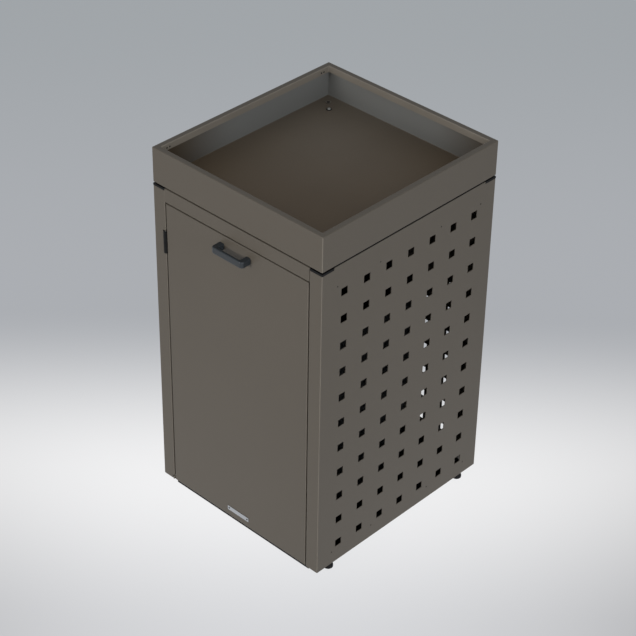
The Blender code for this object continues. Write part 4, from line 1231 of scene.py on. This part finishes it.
@dataclass
class PlantingTray(SubAssembly):
    """The open pan on top, its bearers, bolts, washers, nuts, rivets and drain."""

    bend_steps: int = 5
    rim: float = 18.5 * MM
    lip: float = 20.0 * MM
    drain_hole: float = 6.8 * MM
    drain_bore: float = 5.0 * MM
    drain_outer: float = 6.5 * MM
    drain_cup: float = 1.5 * MM
    rivet: Rivet = Rivet(2.6 * MM, 2.7 * MM)
    rivet_drop: float = 12.5 * MM
    rivet_inner: float = 300.0 * MM
    rivet_outer: float = 310.5 * MM
    bolt_radius: float = 3.0 * MM
    bolt_hole: float = 3.3 * MM
    bolt_rim: float = 1.0 * MM
    bolt_head: float = 3.4 * MM
    bolt_steps: int = 36
    bolt_hole_steps: int = 24
    socket_radius: float = 2.3 * MM
    socket_depth: float = 1.8 * MM
    level_normal: float = 0.5
    inward_normal: float = 0.3

    def build(self) -> None:
        """Builds and dresses the tray's pieces."""
        self.pan()
        self.lip_rivets()
        self.bolts()
        self.washers()
        nut = hexagon_nut(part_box(corner_nodes("tray_nut")[0]), self.bolt_hole)
        self.bench.place_four("tray_nut", nut, Slot.STEEL)
        self.drain()
        for side in Side:
            self.bench.refine(f"tray_bearer_{side.label}", Body.CABINET, Slot.BLACK_STEEL, self.edge)

    def pan(self) -> None:
        """Folds the pan with its rim and lip, cuts its holes and coats its inside apart."""
        low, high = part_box("planting_tray")
        middle = (low + high) / 2
        size = high - low
        bm = bmesh.new()
        bmesh.ops.create_grid(bm, x_segments=1, y_segments=1, size=0.5)
        bmesh.ops.transform(bm, matrix=Matrix.Diagonal((size.x, size.y, 1, 1)), verts=bm.verts)
        bmesh.ops.translate(bm, vec=(middle.x, middle.y, low.z), verts=bm.verts)
        bmesh.ops.reverse_faces(bm, faces=bm.faces)
        for rise, inset in ((size.z, 0.0), (0.0, self.rim), (-self.lip, 0.0)):
            border = [edge for edge in bm.edges if edge.is_boundary]
            drawn = bmesh.ops.extrude_edge_only(bm, edges=border)["geom"]
            for vert in (item for item in drawn if isinstance(item, bmesh.types.BMVert)):
                vert.co.x -= math.copysign(inset, vert.co.x - middle.x)
                vert.co.y -= math.copysign(inset, vert.co.y - middle.y)
                vert.co.z += rise
        pan = new_object("planting_tray_sheet", bm)
        add_rounding(pan, self.bend, self.bend_steps)
        add_thickness(pan, self.sheet)
        cutter = turned("drain_cut", chamfered(self.drain_hole, low.z - CUT, low.z + CUT, self.edge),
                        axis_of("drain_outlet"))
        combine(pan, [cutter], 'DIFFERENCE')
        paint = self.bench.materials[Slot.PAINT]
        unit = turned("bolt_cut", chamfered(self.bolt_hole, low.z - CUT, low.z + CUT, self.edge),
                      steps=self.bolt_hole_steps)
        self.bench.corner_grid("tray_bolt").cut(pan, unit, paint)
        self.lip_grid().cut(pan, self.rivet.cutter(), paint)
        self.coat_inside(pan, low, high)
        self.bench.place(pan, Body.CABINET, Slot.PAINT, "planting_tray")

    def lip_grid(self) -> GridPattern:
        """Sets out the rivets of the left lip.

        Returns:
            A grid of two rivets at each end.
        """
        low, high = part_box("planting_tray")
        start = (low.x + self.rim, (low.y + high.y) / 2 - self.rivet_outer, high.z - self.rivet_drop)
        return GridPattern(start, 2, (0, self.rivet_outer - self.rivet_inner, 0),
                           2, (0, self.rivet_outer + self.rivet_inner, 0))

    def lip_rivets(self) -> None:
        """Sets the small dark rivets at the ends of the left lip."""
        rivets = self.lip_grid().copies("lip_rivets", self.rivet.shape(),
                                        self.bench.materials[Slot.BLACK_STEEL])
        self.bench.place(rivets, Body.CABINET, Slot.BLACK_STEEL)

    def coat_inside(self, pan: bpy.types.Object, low: Vector, high: Vector) -> None:
        """Gives the pan's floor and inner walls their coats of painted light and shade, and the lip and
        outer upright bends their painted highlight.

        Args:
            pan: The pan.
            low: Its lowest corner.
            high: Its highest corner.
        """
        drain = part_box("drain_outlet")[1]
        # The floor and the walls darken and brown away from the drain: painted shade on the floor, and the
        # painted shadow of the near walls on the walls.
        coats = [self.bench.materials[Slot.PAINT], PAN_FLOOR_PAINTED_LIGHT_AND_SHADE.material(drain),
                 PAN_WALL_PAINTED_LIGHT_AND_SHADOW.material(drain), self.bench.rubbed]
        outside, floor, wall, bend = range(len(coats))
        middle = (low + high) / 2

        def choose(face: bpy.types.MeshPolygon) -> int:
            """Tells the outside, the floor, the inner walls and the faces with a painted highlight apart.

            Args:
                face: A face of the pan.

            Returns:
                The place of its coat.
            """
            inward = Vector((middle.x - face.center.x, middle.y - face.center.y, 0.0))
            faces_in = face.normal.dot(inward.normalized())
            if face.normal.z > self.level_normal and face.center.z < low.z + 2 * self.sheet:
                return floor
            if faces_in > self.inward_normal:
                # The inward face of the lip takes the paler coat as a painted highlight.
                return wall if face.center.z < high.z - self.lip else bend
            # Outer upright bends take the paler coat as a painted highlight.
            return bend if faces_in < 0 and on_upright_bend(face) else outside

        coat(pan, coats, choose)

    def bolts(self) -> None:
        """Turns the four domed bolts with their hexagon sockets."""
        low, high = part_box(corner_nodes("tray_bolt")[0])
        head = high.z - self.bolt_head
        radius = (high.x - low.x) / 2
        shank = self.bolt_radius
        profile = [(0.0, low.z), (shank - self.edge, low.z), (shank, low.z + self.edge), (shank, head),
                   (radius, head), *domed(radius, head + self.bolt_rim, high.z)]
        bolt = turned("bolt", profile, steps=self.bolt_steps)
        bar = chamfered(self.socket_radius, high.z - self.socket_depth, high.z + CUT, self.edge)
        combine(bolt, [turned("socket", bar, steps=HEXAGON)], 'DIFFERENCE')
        self.bench.place_four("tray_bolt", bolt, Slot.STEEL)

    def washers(self) -> None:
        """Turns the four sealing washers."""
        low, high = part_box(corner_nodes("tray_washer")[0])
        profile = chamfered((high.x - low.x) / 2, low.z, high.z, self.edge, self.bolt_hole)
        self.bench.place_four("tray_washer", turned("washer", profile, steps=self.bolt_steps), Slot.RUBBER)

    def drain(self) -> None:
        """Turns the drain's flanged bush, whose upper faces have a paler coat as a painted highlight."""
        low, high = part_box("drain_outlet")
        flange = (high.x - low.x) / 2
        under = high.z - self.drain_cup
        profile = [(self.drain_bore, low.z), (self.drain_outer, low.z), (self.drain_outer, under),
                   (flange, under), (flange, high.z - self.edge), (flange - self.edge, high.z),
                   (self.drain_bore + self.edge, high.z), (self.drain_bore, high.z - self.edge)]
        drain = turned("drain_bush", profile, axis_of("drain_outlet"))
        # Upper faces: painted highlight.
        coat(drain, [self.bench.materials[Slot.PLASTIC], self.bench.rubbed],
             lambda face: int(face.normal.z > self.level_normal))
        self.bench.place(drain, Body.CABINET, Slot.PLASTIC, "drain_outlet")


@dataclass
class Hinge:
    """The visible barrel on the left of the door, with a half on the post and a half on the door."""

    bench: Bench
    radius: float = 7.0 * MM
    pivot_radius: float = 3.5 * MM
    clearance: float = 1.5 * MM
    pin_bore: float = 3.8 * MM
    leaf: float = 1.2 * MM
    chamfer: float = 0.8 * MM

    def notch(self, pin: str) -> bpy.types.Object:
        """Makes the block that clears a knuckle from the post and the door.

        Args:
            pin: The node of the knuckle's pin.

        Returns:
            The block, open to the foot of the panel where the pin starts there.
        """
        centre = axis_of("hinge_pin")
        low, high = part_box(pin)
        radius, drop = (self.radius, self.clearance) if pin == "hinge_pin" else (self.pivot_radius, CUT)
        reach = radius + self.clearance
        return block(pin + "_notch", (centre.x - reach, centre.y - reach, low.z - drop),
                     (centre.x + reach, centre.y + reach, high.z + self.clearance))

    def build(self) -> None:
        """Builds the two halves and the pin."""
        self.half("hinge_post_half", Body.CABINET)
        self.half("hinge_door_half", Body.DOOR)
        low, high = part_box("hinge_pin")
        profile = chamfered((high.x - low.x) / 2, low.z, high.z, self.chamfer / 2)
        pin = turned("hinge_pin_turned", profile, axis_of("hinge_pin"))
        self.bench.place(pin, Body.CABINET, Slot.STEEL, "hinge_pin")

    def half(self, node: str, body: Body) -> None:
        """Turns a knuckle, joins its leaf on and bores it.

        Args:
            node: The node that it stands for.
            body: The body that it rides on.
        """
        low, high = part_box(node)
        centre = axis_of("hinge_pin")
        knuckle = turned(node + "_knuckle", chamfered(self.radius, low.z, high.z, self.chamfer), centre)
        inner = high.x if body is Body.DOOR else -OPENING_HALF + FIT + self.leaf
        leaf = block("leaf", (inner - self.leaf, centre.y, low.z), (inner, high.y, high.z))
        combine(knuckle, [leaf], 'UNION')
        bore = turned("bore", chamfered(self.pin_bore, low.z - CUT, high.z + CUT, self.chamfer), centre)
        combine(knuckle, [bore], 'DIFFERENCE')
        self.bench.place(knuckle, body, Slot.BLACK_STEEL, node)


@dataclass
class Door(SubAssembly):
    """The flush leaf with its handle, name plate, rivets, screws, stiffener, hinge, pivot and catch."""

    bar_depth: float = 9.5 * MM
    leg: float = 17.0 * MM
    corner: float = 10.0 * MM
    corner_steps: int = 12
    inner_corner_steps: int = 8
    handle_edge: float = 3.0 * MM
    handle_edge_steps: int = 5
    plate_corner: float = 1.5 * MM
    plate_corner_steps: int = 6
    rivet_head: float = 0.8 * MM
    rivet_rim: float = 0.2 * MM
    rivet_steps: int = 24

    def build(self) -> None:
        """Builds and dresses the door's pieces."""
        self.leaf()
        self.handle()
        self.name_plate()
        self.plate_rivets()
        Hinge(self.bench).build()
        fine = self.edge / 2
        for node, body, slot, width in (
                ("door_stiffener", Body.DOOR, Slot.PAINT, self.edge),
                ("pivot_door_half", Body.DOOR, Slot.PAINT, fine),
                ("catch_plate", Body.DOOR, Slot.STEEL, fine),
                ("handle_screw_left", Body.DOOR, Slot.STEEL, self.edge),
                ("handle_screw_right", Body.DOOR, Slot.STEEL, self.edge),
                ("pivot_post_half", Body.CABINET, Slot.PAINT, fine),
                ("pivot_pin", Body.CABINET, Slot.STEEL, fine),
                ("magnet_catch", Body.CABINET, Slot.PLASTIC, 2 * self.edge)):
            self.bench.refine(node, body, slot, width)

    def leaf(self) -> None:
        """Folds the leaf's four edges back and cuts the hinge's notch."""
        bm = bmesh.new()
        add_block(bm, *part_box("door_panel"))
        bm.normal_update()
        by_depth = sorted(bm.faces, key=lambda face: face.calc_center_median().y)
        front, rear = by_depth[0], by_depth[-1]
        bmesh.ops.delete(bm, geom=[rear], context='FACES_ONLY')
        bmesh.ops.bevel(bm, geom=list(front.edges), offset=self.bend, segments=self.bend_steps,
                        profile=ROUND_PROFILE, affect='EDGES')
        leaf = new_object("door_leaf_sheet", bm)
        add_thickness(leaf, self.sheet)
        combine(leaf, [Hinge(self.bench).notch("hinge_pin")], 'DIFFERENCE')
        self.bench.place(leaf, Body.DOOR, Slot.PAINT, "door_panel")

    def handle(self) -> None:
        """Moulds the bow handle with its rounded corners and edges."""
        low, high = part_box("pull_handle")
        outer = [(low.x, high.y), (low.x, low.y), (high.x, low.y), (high.x, high.y)]
        inner = [(high.x - self.leg, high.y), (high.x - self.leg, low.y + self.bar_depth),
                 (low.x + self.leg, low.y + self.bar_depth), (low.x + self.leg, high.y)]
        outline = (bent_line(outer, self.corner, self.corner_steps)
                   + bent_line(inner, self.corner / 2, self.inner_corner_steps))
        handle = prism("pull_handle_bow", outline, low.z, high.z, Axis.Z)
        bm = bmesh.new()
        bm.from_mesh(handle.data)
        long_edges = []
        for edge in bm.edges:
            first, last = (vert.co for vert in edge.verts)
            level = abs(first.z - last.z) < WELD
            on_door = abs(first.y - high.y) < WELD and abs(last.y - high.y) < WELD
            if level and not on_door:
                long_edges.append(edge)
        bmesh.ops.bevel(bm, geom=long_edges, offset=self.handle_edge, segments=self.handle_edge_steps,
                        profile=ROUND_PROFILE, affect='EDGES')
        bm.to_mesh(handle.data)
        bm.free()
        self.bench.place(handle, Body.DOOR, Slot.HANDLE, "pull_handle")

    def name_plate(self) -> None:
        """Makes the bare plate with its rounded corners and eased edges."""
        low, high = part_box("name_plate")
        corners = [(low.z, 0.0), (low.z, high.x), (high.z, high.x), (high.z, low.x), (low.z, low.x),
                   (low.z, 0.0)]
        outline = bent_line(corners, self.plate_corner, self.plate_corner_steps)[:-1]
        plate = prism("name_plate_bare", outline, low.y, high.y, Axis.Y)
        add_rounding(plate, self.edge / 2)
        make_plain(plate)
        self.bench.place(plate, Body.DOOR, Slot.PLATE, "name_plate")

    def plate_rivets(self) -> None:
        """Sets the two domed rivets of the plate."""
        nodes = [f"plate_rivet_{side.label}" for side in Side]
        low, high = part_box(nodes[0])
        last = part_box(nodes[1])[0]
        radius = (high.x - low.x) / 2
        front = low.y + self.rivet_head
        sunk = high.y - front
        profile = [(0.0, -sunk), (radius / 2, -sunk), (radius / 2, 0.0), (radius, 0.0),
                   *domed(radius, self.rivet_rim, self.rivet_head)]
        unit = turned("plate_rivet", profile, axis=Axis.Y, steps=self.rivet_steps)
        unit.data.transform(Matrix.Rotation(math.pi, 4, 'Z'))
        start = ((low.x + high.x) / 2, front, (low.z + high.z) / 2)
        rivets = GridPattern(start, 2, (last.x - low.x, 0, 0)).copies(
            "plate_rivets", unit, self.bench.materials[Slot.BLACK_STEEL])
        self.bench.place(rivets, Body.DOOR, Slot.BLACK_STEEL, *nodes)


@dataclass
class Base(SubAssembly):
    """The levelling feet and lock nuts, the foot rails, the floor pan and the strip under the door."""

    edge: float = 0.5 * MM
    pad_height: float = 8.0 * MM
    collar_radius: float = 9.0 * MM
    collar_height: float = 6.0 * MM
    stud_radius: float = 5.0 * MM
    stud_hole: float = 5.3 * MM
    thread_pitch: float = 1.5 * MM
    thread_depth: float = 0.7 * MM
    foot_steps: int = 36

    def build(self) -> None:
        """Builds and dresses the base's pieces."""
        for corner in Corner:
            self.foot(corner)
        nut = hexagon_nut(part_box(corner_nodes("lock_nut")[0]), self.stud_hole)
        self.bench.place_four("lock_nut", nut, Slot.STEEL)
        for node in ("foot_rail_left", "foot_rail_right", "floor_pan", "base_sill"):
            self.bench.refine(node, Body.CABINET, Slot.BLACK_STEEL, self.edge)

    def foot(self, corner: Corner) -> None:
        """Turns a foot with its eased pad, its collar and its threaded stud.

        Args:
            corner: The corner that it stands at.
        """
        node = f"levelling_foot_{corner.value}"
        low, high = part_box(node)
        radius = (high.x - low.x) / 2
        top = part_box("foot_rail_left")[0].z - FIT
        profile = [(0.0, low.z), (radius - 2 * self.edge, low.z), (radius, low.z + 2 * self.edge),
                   (radius, self.pad_height - self.edge), (radius - self.edge, self.pad_height),
                   (self.collar_radius, top - self.collar_height), (self.collar_radius, top - self.edge),
                   (self.collar_radius - self.edge, top)]
        root = self.stud_radius - self.thread_depth
        for turn in range(int((high.z - top) / self.thread_pitch)):
            height = top + turn * self.thread_pitch
            profile += [(root, height), (self.stud_radius, height + self.thread_pitch / 2)]
        profile += [(root, high.z), (0.0, high.z)]
        foot = turned(node + "_turned", profile, axis_of(node), steps=self.foot_steps)
        self.bench.place(foot, Body[f"FOOT_{corner.name}"], Slot.PLASTIC, node)


@dataclass
class LitterContainer:
    """The lift-out bin with its rolled rim and ears, and its wire bail."""

    bench: Bench
    wall: float = 3.0 * MM
    rim: float = 14.0 * MM
    taper: float = 25.0 * MM
    corner: float = 45.0 * MM
    corner_steps: int = 10
    rim_roll: float = 9.0 * MM
    rim_round: float = 2.0 * MM
    ear_height: float = 10.0 * MM
    ear_width: float = 18.0 * MM
    ear_thickness: float = 4.0 * MM
    ear_bore_steps: int = 24
    wire_radius: float = 3.0 * MM
    wire_steps: int = 4
    bail_corner: float = 35.0 * MM
    bail_steps: int = 12

    def build(self) -> None:
        """Builds and dresses the container and its bail."""
        self.shell()
        self.bail()

    def loop(self, bm: bmesh.types.BMesh, half: Vector, centre: Vector, height: float,
             radius: float) -> list[bmesh.types.BMVert]:
        """Adds one rounded rectangle.

        Args:
            bm: The bmesh that gets it.
            half: Its half width and half depth.
            centre: Its middle.
            height: Its height.
            radius: Its corners' radius.

        Returns:
            Its vertices, in order.
        """
        verts = []
        for index, (across, along) in enumerate(((1, 1), (-1, 1), (-1, -1), (1, -1))):
            for step in range(self.corner_steps + 1):
                turn = math.pi / 2 * (index + step / self.corner_steps)
                verts.append(bm.verts.new((
                    centre.x + across * (half.x - radius) + radius * math.cos(turn),
                    centre.y + along * (half.y - radius) + radius * math.sin(turn), height)))
        return verts

    def shell(self) -> None:
        """Lofts the tapered shell and joins its ears on."""
        low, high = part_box("litter_container")
        top = high.z - self.ear_height
        centre = (low + high) / 2
        mouth = Vector(((high.x - low.x) / 2 - self.rim, (high.y - low.y) / 2 - self.rim))
        # How far the shell stands out from its mouth at each height, from its foot over the rim and inside.
        stations = [
            (-self.taper, low.z), (0.0, top - self.wall), (self.rim - self.wall, top - self.wall),
            (self.rim - self.wall, top - self.rim_roll), (self.rim, top - self.rim_roll),
            (self.rim, top - self.rim_round), (self.rim - self.rim_round, top),
            (-self.wall, top), (-self.taper - self.wall, low.z + self.wall),
        ]
        bm = bmesh.new()
        loops = []
        for growth, height in stations:
            half = mouth + Vector((growth, growth))
            loops.append(self.loop(bm, half, centre, height, max(self.corner + growth, self.wall)))
        for first, last in zip(loops, loops[1:]):
            join_loops(bm, first, last)
        bm.faces.new(loops[0])
        bm.faces.new(loops[-1])
        bmesh.ops.recalc_face_normals(bm, faces=bm.faces)
        shell = new_object("litter_container_shell", bm)
        combine(shell, [self.ear(side, mouth, centre, top) for side in Side], 'UNION')
        self.bench.place(shell, Body.CONTAINER, Slot.BIN, "litter_container")

    def ear(self, side: Side, mouth: Vector, centre: Vector, top: float) -> bpy.types.Object:
        """Makes an ear with the bore that takes the bail.

        Args:
            side: The side that it stands on.
            mouth: The mouth's half width and half depth.
            centre: The container's middle.
            top: The height of the rim.

        Returns:
            The ear.
        """
        middle = side.value * (mouth.x + self.rim / 2)
        half = self.ear_thickness / 2
        ear = block("ear", (middle - half, centre.y - self.ear_width / 2, top - self.wall / 2),
                    (middle + half, centre.y + self.ear_width / 2, top + self.ear_height))
        bore = turned("ear_bore", chamfered(self.wire_radius + FIT, -CUT, CUT, self.wall / 8),
                      (middle, centre.y, top + self.ear_height / 2), Axis.X, self.ear_bore_steps)
        combine(ear, [bore], 'DIFFERENCE')
        return ear

    def bail(self) -> None:
        """Bends the wire bail and closes its ends."""
        low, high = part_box("container_bail")
        container_low, container_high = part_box("litter_container")
        tip = (container_high.x - container_low.x) / 2 - self.rim / 2 - self.ear_thickness
        height = (low.z + high.z) / 2
        reach = high.x - self.wire_radius
        front = low.y + self.wire_radius
        pivot = high.y - self.wire_radius
        bow = [(-reach, pivot), (-reach, front), (reach, front), (reach, pivot)]
        points = [Vector((-tip, pivot)), *bent_line(bow, self.bail_corner, self.bail_steps),
                  Vector((tip, pivot))]
        curve = bpy.data.curves.new("bail_wire", 'CURVE')
        curve.dimensions = '3D'
        curve.bevel_depth = self.wire_radius
        curve.bevel_resolution = self.wire_steps
        curve.use_fill_caps = True
        spline = curve.splines.new('POLY')
        spline.points.add(len(points) - 1)
        for spot, point in zip(spline.points, points):
            spot.co = (point.x, point.y, height, 1.0)
        guide = link(bpy.data.objects.new("bail_guide", curve))
        depsgraph = bpy.context.evaluated_depsgraph_get()
        mesh = bpy.data.meshes.new_from_object(guide.evaluated_get(depsgraph), depsgraph=depsgraph)
        bpy.data.objects.remove(guide, do_unlink=True)
        bm = bmesh.new()
        bm.from_mesh(mesh)
        bmesh.ops.remove_doubles(bm, verts=bm.verts, dist=WELD)
        bmesh.ops.recalc_face_normals(bm, faces=bm.faces)
        wire = new_object("container_bail_wire", bm)
        self.bench.place(wire, Body.BAIL, Slot.STEEL, "container_bail")


def main() -> None:
    """Builds the studio and every sub-assembly in order."""
    logging.basicConfig(level=logging.INFO, format="%(name)s: %(message)s")
    for obj in list(bpy.data.objects):
        bpy.data.objects.remove(obj, do_unlink=True)
    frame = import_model()
    bench = Bench(frame)
    Studio().build()
    for sub_assembly in (Housing, PlantingTray, Door, Base, LitterContainer):
        sub_assembly(bench).build()


if __name__ == "__main__":
    main()
